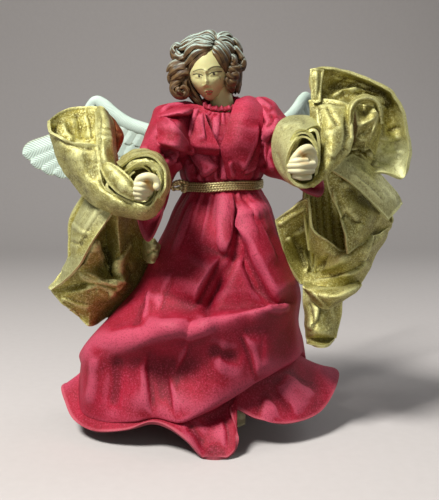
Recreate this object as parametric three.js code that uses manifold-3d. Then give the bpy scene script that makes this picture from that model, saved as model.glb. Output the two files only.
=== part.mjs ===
import * as THREE from "three";
import { mergeVertices } from "three/addons/utils/BufferGeometryUtils.js";
import initManifold from "manifold-3d";

const kernel = await initManifold();
kernel.setup();
const { Manifold, Mesh: SolidMesh } = kernel;

// Driving dimensions in millimetres. The figure faces -Y and stands on its hem at z = 0.
// Left and right are the figure's own sides, so left is +X.
const ROBE_CLOTH = 0.9;
const SASH_CLOTH = 0.9;
const CLEARANCE = 0.3;
const WIRE_RADIUS = 1;
const PEG_RADIUS = 2.4;
const NECK_RADIUS = 7.4;
const WAIST_HEIGHT = 157.3;
const WAIST_CENTRE_X = 1.5;
const WAIST_HALF_WIDTH = 24;
const WAIST_HALF_DEPTH = 18;
const WAIST_SLOPE = 0.039;
const BELT_WIDTH = 5.7;
const BELT_THICKNESS = 1.7;
const COLLAR_RADIUS = 1.7;
const NECK_SLOPE = 0.42;
const WING_SPAN = 130;
const RIGHT_WING_SWEEP = 10;
const LEFT_WING_SWEEP = 47;
const LEFT_WING_LIFT = 3;
const COIL_TURNS = 2.3;
const COIL_DEPTH = 20;
const COIL_OPENING = 4.8;
const HEM_FLAT = 0.5;
const HEAD_TURN = 10;
const HEAD_TILT = 6;

// Sizes that follow from the ones above
const beltHalfWidth = WAIST_HALF_WIDTH + ROBE_CLOTH / 2 + CLEARANCE + BELT_THICKNESS / 2;
const beltHalfDepth = WAIST_HALF_DEPTH + ROBE_CLOTH / 2 + CLEARANCE + BELT_THICKNESS / 2;
const wingScale = WING_SPAN / 130;

const point = (p) => new THREE.Vector3(p[0], p[1], p[2]);
const radians = THREE.MathUtils.degToRad;
const smooth = THREE.MathUtils.smoothstep;
const count = (n) => Array.from({ length: n }, (_, i) => i);

// A point at the depth y that is seen at a column and row of the front view
const FRONT_VIEW = { distance: 500, rise: 7, focal: 774, column: 219.5, row: 250, height: 115.7 };
function seen([column, row, y]) {
  const { distance, focal } = FRONT_VIEW;
  const level = Math.cos(radians(FRONT_VIEW.rise));
  const rise = Math.sin(radians(FRONT_VIEW.rise));
  const slope = (FRONT_VIEW.row - row) / focal;
  const up = (slope * (distance + level * y) - rise * y) / (level + rise * slope);
  const depth = distance + level * y - rise * up;
  return new THREE.Vector3(((column - FRONT_VIEW.column) * depth) / focal, y, up + FRONT_VIEW.height);
}

// A smooth curve through hand-placed points
function curveThrough(points, closed = false) {
  return new THREE.CatmullRomCurve3(points.map((p) => (p.isVector3 ? p : point(p))), closed, "catmullrom", 0.5);
}

// A closed surface from points and triangles, turned so that its faces look outward
function closedSurface(points, triangles) {
  let volume = 0;
  for (const [a, b, c] of triangles) {
    volume += points[a].dot(new THREE.Vector3().crossVectors(points[b], points[c]));
  }
  const order = volume < 0 ? triangles.map(([a, b, c]) => [a, c, b]) : triangles;
  const geometry = new THREE.BufferGeometry();
  geometry.setAttribute("position", new THREE.Float32BufferAttribute(points.flatMap((p) => p.toArray()), 3));
  geometry.setIndex(order.flat());
  return geometry;
}

// Geometry to solid and back again, for joining and cutting
function solid(geometry) {
  const plain = new THREE.BufferGeometry();
  plain.setAttribute("position", geometry.getAttribute("position").clone());
  if (geometry.index) {
    plain.setIndex(geometry.index.clone());
  }
  const welded = mergeVertices(plain, 1e-4);
  const index = Array.from(welded.index.array);
  const kept = [];
  for (let i = 0; i < index.length; i += 3) {
    const [a, b, c] = index.slice(i, i + 3);
    if (a !== b && b !== c && c !== a) {
      kept.push(a, b, c);
    }
  }
  const vertProperties = new Float32Array(welded.getAttribute("position").array);
  return new Manifold(new SolidMesh({ numProp: 3, vertProperties, triVerts: new Uint32Array(kept) }));
}

function surface(body) {
  const mesh = body.getMesh();
  const geometry = new THREE.BufferGeometry();
  geometry.setAttribute("position", new THREE.Float32BufferAttribute(Array.from(mesh.vertProperties), 3));
  geometry.setIndex(Array.from(mesh.triVerts));
  return geometry;
}

const join = (...bodies) => Manifold.union(bodies);

// What is left of a body once its neighbours are taken out, as one piece
function trimmed(body, ...neighbours) {
  const rest = neighbours.reduce((left, other) => left.subtract(other), body);
  return rest.decompose().sort((a, b) => b.volume() - a.volume())[0];
}

// A sheet's middle surface: rows[i][j], with the ribs passed through in order
function ribbedRows(ribs, across, along, ringed = false) {
  const curves = ribs.map((rib) => curveThrough(rib, ringed));
  const steps = ringed ? across : across + 1;
  return count(steps).map((i) => {
    const stringer = curveThrough(curves.map((curve) => curve.getPoint(i / across)));
    return count(along + 1).map((j) => stringer.getPoint(j / along));
  });
}

// A sheet with thickness round its middle surface, closed at every rim
function sheet(rows, thickness, ringed = false) {
  const m = rows.length;
  const n = rows[0].length;
  const wrap = (i) => (ringed ? (i + m) % m : THREE.MathUtils.clamp(i, 0, m - 1));
  const keep = (j) => THREE.MathUtils.clamp(j, 0, n - 1);
  const points = [];
  for (const side of [0.5, -0.5]) {
    for (let i = 0; i < m; i++) {
      for (let j = 0; j < n; j++) {
        const across = new THREE.Vector3().subVectors(rows[wrap(i + 1)][j], rows[wrap(i - 1)][j]);
        const along = new THREE.Vector3().subVectors(rows[i][keep(j + 1)], rows[i][keep(j - 1)]);
        const normal = across.cross(along).normalize();
        points.push(rows[i][j].clone().addScaledVector(normal, side * thickness));
      }
    }
  }
  const front = (i, j) => wrap(i) * n + j;
  const back = (i, j) => m * n + front(i, j);
  const triangles = [];
  const quad = (a, b, c, d) => triangles.push([a, b, c], [a, c, d]);
  const last = ringed ? m : m - 1;
  for (let i = 0; i < last; i++) {
    for (let j = 0; j < n - 1; j++) {
      quad(front(i, j), front(i + 1, j), front(i + 1, j + 1), front(i, j + 1));
      quad(back(i, j), back(i, j + 1), back(i + 1, j + 1), back(i + 1, j));
    }
    quad(front(i + 1, 0), front(i, 0), back(i, 0), back(i + 1, 0));
    quad(front(i, n - 1), front(i + 1, n - 1), back(i + 1, n - 1), back(i, n - 1));
  }
  if (!ringed) {
    for (let j = 0; j < n - 1; j++) {
      quad(front(0, j), front(0, j + 1), back(0, j + 1), back(0, j));
      quad(front(m - 1, j + 1), front(m - 1, j), back(m - 1, j), back(m - 1, j + 1));
    }
  }
  return solid(closedSurface(points, triangles));
}

// A solid skinned over rings of points, with flat ends
function block(rings) {
  const around = rings[0].length;
  const points = rings.flat();
  const triangles = [];
  for (let r = 0; r < rings.length - 1; r++) {
    for (let i = 0; i < around; i++) {
      const a = r * around + i;
      const b = r * around + ((i + 1) % around);
      triangles.push([a, b, b + around], [a, b + around, a + around]);
    }
  }
  for (const [ring, flip] of [[0, true], [rings.length - 1, false]]) {
    const centre = new THREE.Vector3();
    rings[ring].forEach((p) => centre.addScaledVector(p, 1 / around));
    points.push(centre);
    for (let i = 0; i < around; i++) {
      const a = ring * around + i;
      const b = ring * around + ((i + 1) % around);
      triangles.push(flip ? [b, a, points.length - 1] : [a, b, points.length - 1]);
    }
  }
  return solid(closedSurface(points, triangles));
}

// The same route, run on a little way at both ends
function runOn(points, extra) {
  const first = point(points[0]);
  const last = point(points[points.length - 1]);
  const back = first.clone().sub(point(points[1])).setLength(extra);
  const on = last.clone().sub(point(points[points.length - 2])).setLength(extra);
  return [first.add(back).toArray(), ...points.slice(1, -1), last.add(on).toArray()];
}

// A round bar along a curve, with its own radius at each named point
function limb(points, radii, around = 8, steps = 10) {
  const curve = curveThrough(points);
  const frames = curve.computeFrenetFrames(steps, false);
  const widths = curveThrough(radii.map((r) => [r, 0, 0]));
  const rings = count(steps + 1).map((s) => {
    const centre = curve.getPointAt(s / steps);
    const radius = widths.getPoint(s / steps).x;
    return count(around).map((i) => {
      const angle = (i / around) * Math.PI * 2;
      return centre
        .clone()
        .addScaledVector(frames.normals[s], radius * Math.cos(angle))
        .addScaledVector(frames.binormals[s], radius * Math.sin(angle));
    });
  });
  return block(rings);
}

// An oval ring of points round the body axis; the angle starts at the front
function oval(around, centre, halfWidth, halfDepth, slope = 0) {
  return count(around).map((i) => {
    const angle = (i / around) * Math.PI * 2;
    const x = halfWidth * Math.sin(angle);
    return new THREE.Vector3(centre[0] + x, centre[1] - halfDepth * Math.cos(angle), centre[2] + slope * x);
  });
}

function ball(centre, radii, across = 10, down = 8) {
  const shape = new THREE.SphereGeometry(1, across, down);
  shape.scale(radii[0], radii[1], radii[2]);
  shape.translate(centre[0], centre[1], centre[2]);
  return solid(shape);
}

// The body inside the robe
const coreRings = [
  [149, 13, 9.5],
  [158, 18, 12.5],
  [172, 21, 14.5],
  [188, 21, 14],
  [199, 14, 10],
  [202.4, 7, 6.4],
];
const coreBlock = block(coreRings.map(([z, width, depth]) => oval(12, [WAIST_CENTRE_X, 0, z], width, depth)));

// A peg or wire, or the hole for it when it is grown by the clearance
const bar = (path, radius, extra, around, steps) => limb(
  extra > 0 ? runOn(path, extra) : path, path.map(() => radius + extra), around, steps,
);
const neckPath = [[1.5, 0, 186], [1.2, -0.5, 206], [-2, -2, 228]];
const neckPeg = (extra) => bar(neckPath, PEG_RADIUS, extra, 10, 5);

const rightArmPath = [[-6, 0, 189], [-24, -6, 187], [-40, -34, 172], [-40.5, -66, 160]];
const leftArmPath = [[9, 0, 190], [26, -6, 190], [42, -34, 181], [45.5, -66, 172.5]];
const armWire = (path, extra) => bar(path, WIRE_RADIUS, extra, 6, 9);

const rightLegPath = [[-5, 0, 163], [-8, 0, 110], [-11, -3, 26]];
const leftLegPath = [[8, 0, 163], [10, 0, 110], [12.5, -4, 24]];
const legWire = (path, extra) => bar(path, WIRE_RADIUS, extra, 6, 5);

const rightStaplePath = [[-6, 4, 187], [-9.5, 22, 187], [-12, 24, 183], [-9.5, 22, 179], [-6, 4, 179]];
const leftStaplePath = [[9, 4, 189], [12, 22, 189], [14, 24.5, 185], [12, 22, 181], [9, 4, 181]];
const staple = (path, extra) => bar(path, WIRE_RADIUS, extra, 6, 12);

const wires = (extra) => [
  armWire(rightArmPath, extra),
  armWire(leftArmPath, extra),
  legWire(rightLegPath, extra),
  legWire(leftLegPath, extra),
  staple(rightStaplePath, extra),
  staple(leftStaplePath, extra),
];
const torsoCore = trimmed(coreBlock, neckPeg(CLEARANCE), ...wires(CLEARANCE));

// Head: a skull drawn in to the chin, with brow, nose, lips and eye hollows, then the neck
function faceGeometry() {
  const shape = new THREE.SphereGeometry(1, 22, 16);
  shape.rotateX(Math.PI / 2);
  const place = shape.getAttribute("position");
  const mound = (dx, dz, width, height) => Math.exp(-((dx / width) ** 2) - (dz / height) ** 2);
  for (let i = 0; i < place.count; i++) {
    const x = place.getX(i);
    const y = place.getY(i);
    const z = place.getZ(i);
    const jaw = 1 - 0.34 * smooth(-z, 0.1, 1);
    const front = smooth(-y, 0.1, 0.7);
    const px = 13.2 * x * jaw;
    const pz = 20 * z;
    let out = 0;
    out += 4.2 * mound(px, pz + 7.2, 2.2, 3.2) + 2.2 * mound(px, pz + 2, 1.6, 5);
    out += 1.6 * mound(px, pz + 12.6, 3.6, 1.5) + 1.6 * mound(px, pz + 18.2, 4.4, 3);
    out += 1 * mound(Math.abs(px) - 4.8, pz - 3.2, 3.8, 1.6);
    out -= 1.7 * mound(Math.abs(px) - 4.9, pz + 0.6, 2.9, 2.1);
    place.setXYZ(i, px, 15.2 * y - out * front, pz);
  }
  return shape;
}

const headTurn = new THREE.Matrix4()
  .makeTranslation(-7, -5.5, 230)
  .multiply(new THREE.Matrix4().makeRotationY(radians(-HEAD_TILT)))
  .multiply(new THREE.Matrix4().makeRotationZ(radians(-HEAD_TURN)));

function neckForm(extra) {
  const radius = NECK_RADIUS + extra;
  return limb([[2, 0.5, 204.4], [1.4, -0.6, 210], [-2, -3, 224]], [radius, radius - 0.4, radius - 0.2], 12, 4);
}

function headForm(extra) {
  const face = faceGeometry();
  const grown = 1 + extra / 13;
  face.scale(grown, grown, grown);
  face.applyMatrix4(headTurn);
  return join(solid(face), neckForm(extra));
}
const head = trimmed(headForm(0), neckPeg(CLEARANCE));

// Hair: a cap and the curls that stand out from it, each as centre, reach and turn
const curls = [
  [-9, 2, 240, 17, 15, 12],
  [-8, 8, 232, 17, 13, 17],
  [-16, -11, 245, 8, 6, 6],
  [-5, -13, 247, 8, 6, 6],
  [5, -9, 245, 8, 7, 7],
  [-24, -6, 240, 8, 8, 7],
  [-27, -8, 231, 7, 8, 6],
  [-25, -9, 222, 7, 7, 6],
  [-23, -8, 214.5, 5.5, 6, 4.5],
  [10, -7, 236, 6.5, 8, 7],
  [11, -5, 227, 5.5, 8, 6],
  [8.5, -3, 219.5, 5, 7, 5],
  [-18, 12, 223, 9, 8, 8],
  [-6, 15, 224, 9, 7, 9],
  [5, 11, 223, 7, 7, 8],
  [-14, 0, 248.5, 9, 10, 6],
  [-2, 0, 249, 9, 10, 6],
];
const hairMass = join(...curls.map(([x, y, z, a, b, c]) => ball([x, y, z], [a, b, c], 7, 5)));
const skull = new THREE.SphereGeometry(1, 14, 10);
skull.rotateX(Math.PI / 2);
skull.scale(13.8 + CLEARANCE, 15.9 + CLEARANCE, 20.5 + CLEARANCE);
skull.applyMatrix4(headTurn);
const hair = trimmed(hairMass, solid(skull), neckForm(CLEARANCE));

// Hands: a palm, four curled fingers, a thumb and the wrist that takes the wire
function handForm(side) {
  const palm = ball([0, 2.5, 0.5], [6, 4.2, 7], 8, 6);
  const wrist = limb([[0, 4, 0], [0, 9, 0.5], [0, 13, 1]], [3.6, 3.4, 3.4], 8, 2);
  const fingers = [5, 1.8, -1.4, -4.4].map((z, i) => {
    const reach = 6.6 - 0.5 * i;
    const path = [[-side * reach, 1.5, z], [-side * reach, -2.6, z], [0, -4.6, z - 0.4], [side * 4.2, -3.4, z - 0.8]];
    return limb(path, [2, 2, 1.9, 1.6], 6, 4);
  });
  const thumb = limb([[side * 3.6, 2, 5.5], [side * 5.8, -2, 5.6], [side * 5, -4.6, 2]], [2.2, 2, 1.6], 6, 4);
  return join(palm, wrist, thumb, ...fingers);
}

const RIGHT_HAND = [-40.3, -73, 160];
const RIGHT_HAND_TURN = [-8, 0, 8];
const placed = (body, position, turn) => body.rotate(turn).translate(position);
const rightHand = trimmed(
  placed(handForm(1), RIGHT_HAND, RIGHT_HAND_TURN),
  armWire(rightArmPath, CLEARANCE),
);
const leftHand = trimmed(
  placed(handForm(-1).scale(1.12), [45.4, -73.5, 172.5], [-8, 0, -6]),
  armWire(leftArmPath, CLEARANCE),
);

// Feet, toes pointed down
const footForm = (x) => join(
  limb([[x, -2, 40], [x, -4, 28], [x, -8, 18], [x + 0.4, -16, 11], [x + 0.5, -23.5, 6]], [3.6, 4, 4.6, 4, 2.6], 10, 7),
  ball([x, -4.5, 19], [4, 4.4, 4.4], 8, 6),
);
const leftFoot = trimmed(footForm(12.5), legWire(leftLegPath, CLEARANCE));
const rightFoot = trimmed(footForm(-11), legWire(rightLegPath, CLEARANCE));

// Robe: rings from the waist up to the neck
const bodiceRings = [
  [WAIST_HEIGHT + 0.25, WAIST_HALF_WIDTH, WAIST_HALF_DEPTH, 0],
  [WAIST_HEIGHT + BELT_WIDTH / 2 + 0.4, WAIST_HALF_WIDTH, WAIST_HALF_DEPTH, 0],
  [170, 26.8, 20, -0.4],
  [179, 27.8, 20.6, -0.6],
  [189, 28, 19.6, -0.4],
  [197.5, 26, 17, 0],
  [203, 21, 13.6, 0],
  [206, 15, 11.6, 0],
  [207, 11.6, 10.4, 0],
];

function bodicePoint(ring, angle, extra) {
  const [z, halfWidth, halfDepth, centreY] = bodiceRings[ring];
  const lift = ring / (bodiceRings.length - 1);
  const blouse = ring < 2 ? 0 : Math.sin(lift * Math.PI);
  const pleat = 0.9 * Math.cos(angle * 9) * blouse + 1.2 * Math.exp(-((Math.sin((angle - 0.12) / 2) / 0.05) ** 2)) * blouse;
  const x = (halfWidth + pleat + extra) * Math.sin(angle);
  const y = centreY - (halfDepth + pleat + extra) * Math.cos(angle);
  return new THREE.Vector3(WAIST_CENTRE_X + x, y, z + WAIST_SLOPE * x * (1 - lift) + NECK_SLOPE * y * smooth(lift, 0.5, 0.9));
}
const bodiceAround = 24;
const bodiceRows = count(bodiceAround).map((i) =>
  bodiceRings.map((_, ring) => bodicePoint(ring, (i / bodiceAround) * Math.PI * 2, 0)),
);
const bodiceFilled = (extra) => block(bodiceRings.map((_, ring) =>
  count(bodiceAround).map((i) => bodicePoint(ring, (i / bodiceAround) * Math.PI * 2, extra)),
));
const armhole = (path) => limb(path.slice(0, 3), [6, 6, 6], 8, 4);
const bodice = trimmed(
  sheet(bodiceRows, ROBE_CLOTH, true),
  armhole(rightArmPath),
  armhole(leftArmPath),
  staple(rightStaplePath, CLEARANCE),
  staple(leftStaplePath, CLEARANCE),
);

// A band swept round an oval; the profile lists steps outward and upward
function band(centre, halfWidth, halfDepth, slope, profile, around, grow = 0, forward = 0) {
  const points = [];
  const triangles = [];
  const n = profile.length;
  for (let i = 0; i < around; i++) {
    const angle = (i / around) * Math.PI * 2;
    for (const [out, up] of profile) {
      const x = (halfWidth + out * (1 + grow)) * Math.sin(angle);
      const y = -(halfDepth + out * (1 + grow)) * Math.cos(angle);
      points.push(new THREE.Vector3(centre[0] + x, centre[1] + y, centre[2] + slope * x + forward * y + up * (1 + grow)));
    }
  }
  for (let i = 0; i < around; i++) {
    for (let k = 0; k < n; k++) {
      const a = i * n + k;
      const b = i * n + ((k + 1) % n);
      const c = ((i + 1) % around) * n + ((k + 1) % n);
      const d = ((i + 1) % around) * n + k;
      triangles.push([a, b, c], [a, c, d]);
    }
  }
  return solid(closedSurface(points, triangles));
}

const half = BELT_THICKNESS / 2;
const third = BELT_WIDTH / 3;
const beltProfile = [
  [-half, -BELT_WIDTH / 2],
  [half * 0.6, -BELT_WIDTH / 2],
  [half, -third],
  [half * 0.5, -third / 2],
  [half, 0],
  [half * 0.5, third / 2],
  [half, third],
  [half * 0.6, BELT_WIDTH / 2],
  [-half, BELT_WIDTH / 2],
];
const beltBand = (grow) => band(
  [WAIST_CENTRE_X, 0, WAIST_HEIGHT], beltHalfWidth, beltHalfDepth, WAIST_SLOPE, beltProfile, 32, grow,
);
const belt = beltBand(0);
// Collar: a rolled edge round the neck
const collarProfile = count(6).map((k) => {
  const angle = (k / 6) * Math.PI * 2;
  return [COLLAR_RADIUS * Math.cos(angle), COLLAR_RADIUS * Math.sin(angle)];
});
const neckline = bodiceRings[bodiceRings.length - 1];
const collarHeight = neckline[0] + ROBE_CLOTH / 2 + CLEARANCE + COLLAR_RADIUS;
const collar = band(
  [WAIST_CENTRE_X, 0, collarHeight], neckline[1], neckline[2], 0, collarProfile, 20, 0, NECK_SLOPE,
);

// Sash coils: a strip rolled round the wrist, each turn wider than the last and opening to the back
function coilRows(centre, innerSize, outerSize, start, sense) {
  const steps = Math.round(COIL_TURNS * 15);
  return count(steps + 1).map((i) => {
    const along = i / steps;
    const angle = start + sense * along * COIL_TURNS * Math.PI * 2;
    return [0, 0.5, 1].map((deep) => {
      const wide = THREE.MathUtils.lerp(innerSize[0], outerSize[0], along) + COIL_OPENING * deep;
      const tall = THREE.MathUtils.lerp(innerSize[1], outerSize[1], along) + COIL_OPENING * deep;
      return new THREE.Vector3(
        centre[0] + wide * Math.cos(angle),
        centre[1] + 4 * along + COIL_DEPTH * deep,
        centre[2] + tall * Math.sin(angle),
      );
    });
  });
}

// The space that a coil fills, for what is cut clear of it
function coilFilled(centre, outerSize, extra) {
  const ring = (deep, grow) => count(16).map((i) => {
    const angle = (i / 16) * Math.PI * 2;
    return new THREE.Vector3(
      centre[0] + (outerSize[0] + grow) * Math.cos(angle),
      centre[1] + deep,
      centre[2] + (outerSize[1] + grow) * Math.sin(angle),
    );
  });
  const margin = SASH_CLOTH / 2 + extra;
  return block([ring(-margin, margin), ring(4 + COIL_DEPTH + margin, COIL_OPENING + margin)]);
}
const RIGHT_COIL = [-43.4, -68, 160.2];
const RIGHT_COIL_SIZE = [11, 14.4];
const LEFT_COIL = [44.6, -68, 174.8];
const LEFT_COIL_SIZE = [10.6, 15];
const rightCoilRows = coilRows(RIGHT_COIL, [6, 7.4], RIGHT_COIL_SIZE, radians(117), 1);
const leftCoilRows = coilRows(LEFT_COIL, [6.4, 8], LEFT_COIL_SIZE, radians(128), -1);
const rightCoilSpace = coilFilled(RIGHT_COIL, RIGHT_COIL_SIZE, 2 * CLEARANCE);
const leftCoilSpace = coilFilled(LEFT_COIL, LEFT_COIL_SIZE, 2 * CLEARANCE);
const tongueRibs = [
  [[-63.6, -52, 171.5], [-65.7, -53, 170.5], [-67.3, -54, 169.7]],
  [[-56.6, -62, 169.4], [-58.4, -66, 165.1], [-62.1, -60, 159.3]],
  [[-49.5, -63, 164.5], [-50, -66, 158.5], [-51, -63, 153]],
];
const tongue = (extra) => sheet(ribbedRows(tongueRibs, 4, 3), SASH_CLOTH + 2 * extra);
const rightCoil = trimmed(join(sheet(rightCoilRows, SASH_CLOTH), tongue(0)), placed(handForm(1).scale(1.07), RIGHT_HAND, RIGHT_HAND_TURN));
const leftCoil = sheet(leftCoilRows, SASH_CLOTH);

// Sleeves: rings from the shoulder to the open, hanging bell
const rightSleeveRings = [
  [[-18.6, 0, 208.6], [-14.4, -15, 201], [-14.9, -19, 188.7], [-16.4, -14, 179.7],
    [-17.5, 0, 174.7], [-19.2, 12, 179.8], [-20.6, 15, 191.5], [-20.3, 10, 202.9]],
  [[-32.3, -4, 207.1], [-28.7, -22, 198.8], [-27.3, -28, 185.5], [-26.5, -22, 170.6],
    [-27.5, -8, 166], [-32.1, 8, 172.2], [-35.9, 10, 186.3], [-35.5, 6, 200.1]],
  [[-38.4, -14, 200.4], [-36.3, -34, 191.3], [-32.9, -42, 176.6], [-30.4, -36, 159],
    [-34, -22, 145.6], [-39.5, -8, 154.7], [-42.6, -4, 176.6], [-42.4, -4, 195.3]],
  [[-42.1, -36, 185.4], [-40.3, -44, 179.5], [-35.3, -50, 162.4], [-34.1, -44, 141.8],
    [-43, -34, 125.3], [-49.5, -28, 136.9], [-49.6, -24, 161.5], [-47.7, -28, 179.6]],
];
const leftSleeveRings = [
  [[23, 0, 212.3], [18.7, -15, 202.8], [18.6, -19, 188.7], [20.1, -14, 176.6],
    [22, 0, 172.2], [23.8, 12, 178.6], [25.1, 15, 192.8], [24.8, 10, 205.4]],
  [[32.9, -4, 208.9], [30.5, -22, 198.8], [29.1, -28, 185.5], [28.2, -20, 170.5],
    [29.1, -6, 164.5], [34, 8, 170.2], [36.6, 10, 186.3], [36.2, 6, 202]],
  [[37, -16, 200.3], [34.5, -34, 192.4], [35.2, -42, 179.5], [35.8, -36, 167.8],
    [39.4, -22, 161.5], [45.5, -8, 164.1], [47, -4, 179.7], [44.1, -6, 195.9]],
  [[40.3, -36, 192.4], [38.5, -44, 187.5], [40.4, -50, 173.8], [45.5, -46, 159.9],
    [58.5, -36, 151.8], [63.3, -26, 158], [57.5, -22, 173.6], [48.4, -26, 186.8]],
];
const sleeveSheet = (rings, extra) => sheet(ribbedRows(rings, 20, 6, true), ROBE_CLOTH + 2 * extra, true);
const rightSleeve = trimmed(
  sleeveSheet(rightSleeveRings, 0),
  bodiceFilled(ROBE_CLOTH / 2 + CLEARANCE),
  rightCoilSpace,
  collar,
);
const leftSleeve = trimmed(
  sleeveSheet(leftSleeveRings, 0),
  bodiceFilled(ROBE_CLOTH / 2 + CLEARANCE),
  leftCoilSpace,
  collar,
);

const beltKnot = trimmed(
  join(
    limb([[-22, -10.5, 156.6], [-26, -13, 158.2], [-30, -15, 159]], [2, 1.9, 1.5], 6, 4),
    limb([[-23, -12, 158.6], [-27, -14.6, 157.6], [-29.4, -15.4, 156.4]], [1.7, 1.6, 1.2], 6, 4),
  ),
  beltBand(3 * CLEARANCE / BELT_THICKNESS),
  bodiceFilled(ROBE_CLOTH / 2 + CLEARANCE),
  sleeveSheet(rightSleeveRings, CLEARANCE),
);

// Skirt: rings from the waist down, as height, centre and half sizes
const skirtUpper = [
  [WAIST_HEIGHT - 0.25, WAIST_CENTRE_X, WAIST_HALF_WIDTH, WAIST_HALF_DEPTH],
  [WAIST_HEIGHT - BELT_WIDTH / 2 - 0.4, WAIST_CENTRE_X, WAIST_HALF_WIDTH, WAIST_HALF_DEPTH],
  [141, 1, 31, 24],
  [119, 0.5, 40.5, 33],
  [97, -0.5, 50, 42],
];
// Rays down the front: turn, the ridge that hangs over, the hollow under it, the drape's lower edge,
// how far the cloth goes in under that edge, and the hem
const skirtFront = [
  [-92, [85, 346, 4], [83, 357, 4], [82, 368, 3], 2, [63.5, 386, 2]],
  [-76, [86, 346, -15], [82, 372, -15], [80, 398, -14], 2, [66, 404, -14]],
  [-62, [92, 345, -28], [86, 378, -28], [84, 411, -27], 2, [75, 421, -27]],
  [-47, [112, 344, -42], [107, 372, -38], [104, 417, -38], 2, [96, 431.5, -39]],
  [-32, [138, 341, -51], [136, 366, -43], [132, 417, -47], 2, [126, 430, -47]],
  [-22, [160, 333, -57], [157, 364, -41], [154, 414, -49], 4, [150, 423, -50]],
  [-13, [175, 331, -59], [176, 366, -40], [178, 419, -55], 6, [167, 427, -55]],
  [-6, [188, 332, -56], [190, 366, -40], [197, 412, -57], 9, [186, 441, -60]],
  [2, [203, 327, -60], [206, 362, -41], [212, 405, -57], 13, [205, 460, -62.5]],
  [9, [217, 322, -61], [220, 356, -43], [226, 397, -55], 15, [220, 461, -63.5]],
  [16, [232, 318, -60], [234, 350, -45], [238, 390, -53], 14, [235, 450, -61]],
  [23, [247, 314, -58], [247, 345, -46], [247, 385, -51], 10, [236, 430, -55]],
  [31, [260, 311, -54], [258, 341, -47], [256, 380, -48], 8, [231, 408, -46]],
  [42, [272, 308, -49], [267, 336, -45], [268, 373, -43], 10, [257, 419, -46]],
  [54, [281, 308, -40], [280, 333, -37], [282, 365, -34], 11, [289, 423.5, -42]],
  [70, [293, 313, -24], [295, 335, -22], [297, 356, -19], 10, [322, 410, -24]],
  [90, [298, 320, 0], [301, 337, 0], [302, 351, 0], 7, [338, 374, 2]],
];
// Rays round the back: turn, reach and height of the drape's lower edge and of the hem
const HEM_CENTRE = [-12, -2];
const skirtBack = [
  [108, 74, 36, 82, 30],
  [124, 68, 22, 76, 10],
  [143, 66, 14, 76, -HEM_FLAT],
  [162, 58, 15, 65, 3],
  [180, 56, 16, 62, 3],
  [-162, 60, 16, 68, 2],
  [-147, 66, 15, 74, -HEM_FLAT],
  [-128, 66, 16, 72, 3],
  [-108, 74, 28, 86, 16],
];

function skirtRay(turn, lower) {
  const angle = radians(turn);
  const upper = skirtUpper.map(([z, x, halfWidth, halfDepth]) => {
    const out = halfWidth * Math.sin(angle);
    const slope = (WAIST_SLOPE * Math.max(z - 120, 0)) / 37;
    return new THREE.Vector3(x + out, -halfDepth * Math.cos(angle), z + slope * out);
  });
  return [...upper, ...lower];
}
const frontRays = skirtFront.map(([turn, ridge, hollow, edge, recess, hem]) => {
  const inner = seen(edge).lerp(seen(hem), 0.3);
  const share = 1 - recess / Math.max(Math.hypot(inner.x, inner.y), 1);
  inner.x *= share;
  inner.y *= share;
  return skirtRay(turn, [seen(ridge), seen(hollow), seen(edge), inner, seen(hem)]);
});
const backRays = skirtBack.map(([turn, edgeReach, edgeHeight, hemReach, hemHeight]) => {
  const way = new THREE.Vector3(Math.sin(radians(turn)), -Math.cos(radians(turn)), 0);
  const around = (reach, z) => new THREE.Vector3(HEM_CENTRE[0], HEM_CENTRE[1], z).addScaledVector(way, reach);
  const ring = new THREE.Vector3(-13 + 66 * way.x, 52 * way.y, 63);
  const edge = around(edgeReach, edgeHeight);
  const hem = around(hemReach, hemHeight);
  const middle = ring.clone().lerp(edge, 0.5).addScaledVector(way, 1.5);
  const inner = edge.clone().lerp(hem, 0.35).addScaledVector(way, -3);
  return skirtRay(turn, [ring, middle, edge, inner, hem]);
});
const skirtRays = [...frontRays, ...backRays];
const skirtLevels = skirtRays[0].map((_, level) => skirtRays.map((ray) => ray[level]));
const SKIRT_AROUND = 46;
const skirtRows = ribbedRows(skirtLevels, SKIRT_AROUND, skirtLevels.length - 1, true);
const skirtFilled = (extra) => block(skirtRows[0].map((_, level) => {
  const ring = skirtRows.map((row) => row[level]);
  const centre = new THREE.Vector3();
  ring.forEach((p) => centre.addScaledVector(p, 1 / ring.length));
  return ring.map((p) => {
    const away = new THREE.Vector3(p.x - centre.x, p.y - centre.y, 0).normalize();
    return p.clone().addScaledVector(away, extra);
  });
}));
const floor = solid(new THREE.BoxGeometry(400, 400, 40).translate(0, 0, -20));
const skirt = trimmed(sheet(skirtRows, ROBE_CLOTH, true), floor);

// Sash, right side: the funnel that stands up from the wrist and the tail that hangs below it
const funnelRings = [
  [[-101.2, -22, 201.8], [-86.7, -15, 206.4], [-71.3, -20, 204.3], [-65.8, -34, 195.9],
    [-70, -50, 183.4], [-83.3, -55, 184.5], [-95.4, -48, 188.6], [-100.9, -35, 195.9]],
  [[-91.7, -30, 179.6], [-82.6, -20, 185.7], [-68.9, -22, 185.7], [-61.3, -34, 179.6],
    [-67.1, -48, 170.3], [-77.4, -52, 167], [-86.5, -46, 170.3], [-91.4, -38, 175.5]],
  [[-79.5, -34, 160.1], [-73.2, -28, 164.1], [-64.7, -28, 165.3], [-60.1, -36, 161.9],
    [-61.9, -46, 155.3], [-68, -48, 151.9], [-74.2, -45, 154.1], [-78.5, -40, 156.8]],
  [[-60.5, -41, 145], [-56, -38, 148], [-51, -38, 149.5], [-48, -42, 148],
    [-48.5, -49, 144], [-52, -52, 141.5], [-57, -50, 141.5], [-60.5, -45, 143]],
];
const funnelSheet = (extra) => sheet(ribbedRows(funnelRings, 18, 6, true), SASH_CLOTH + 2 * extra, true);
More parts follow.
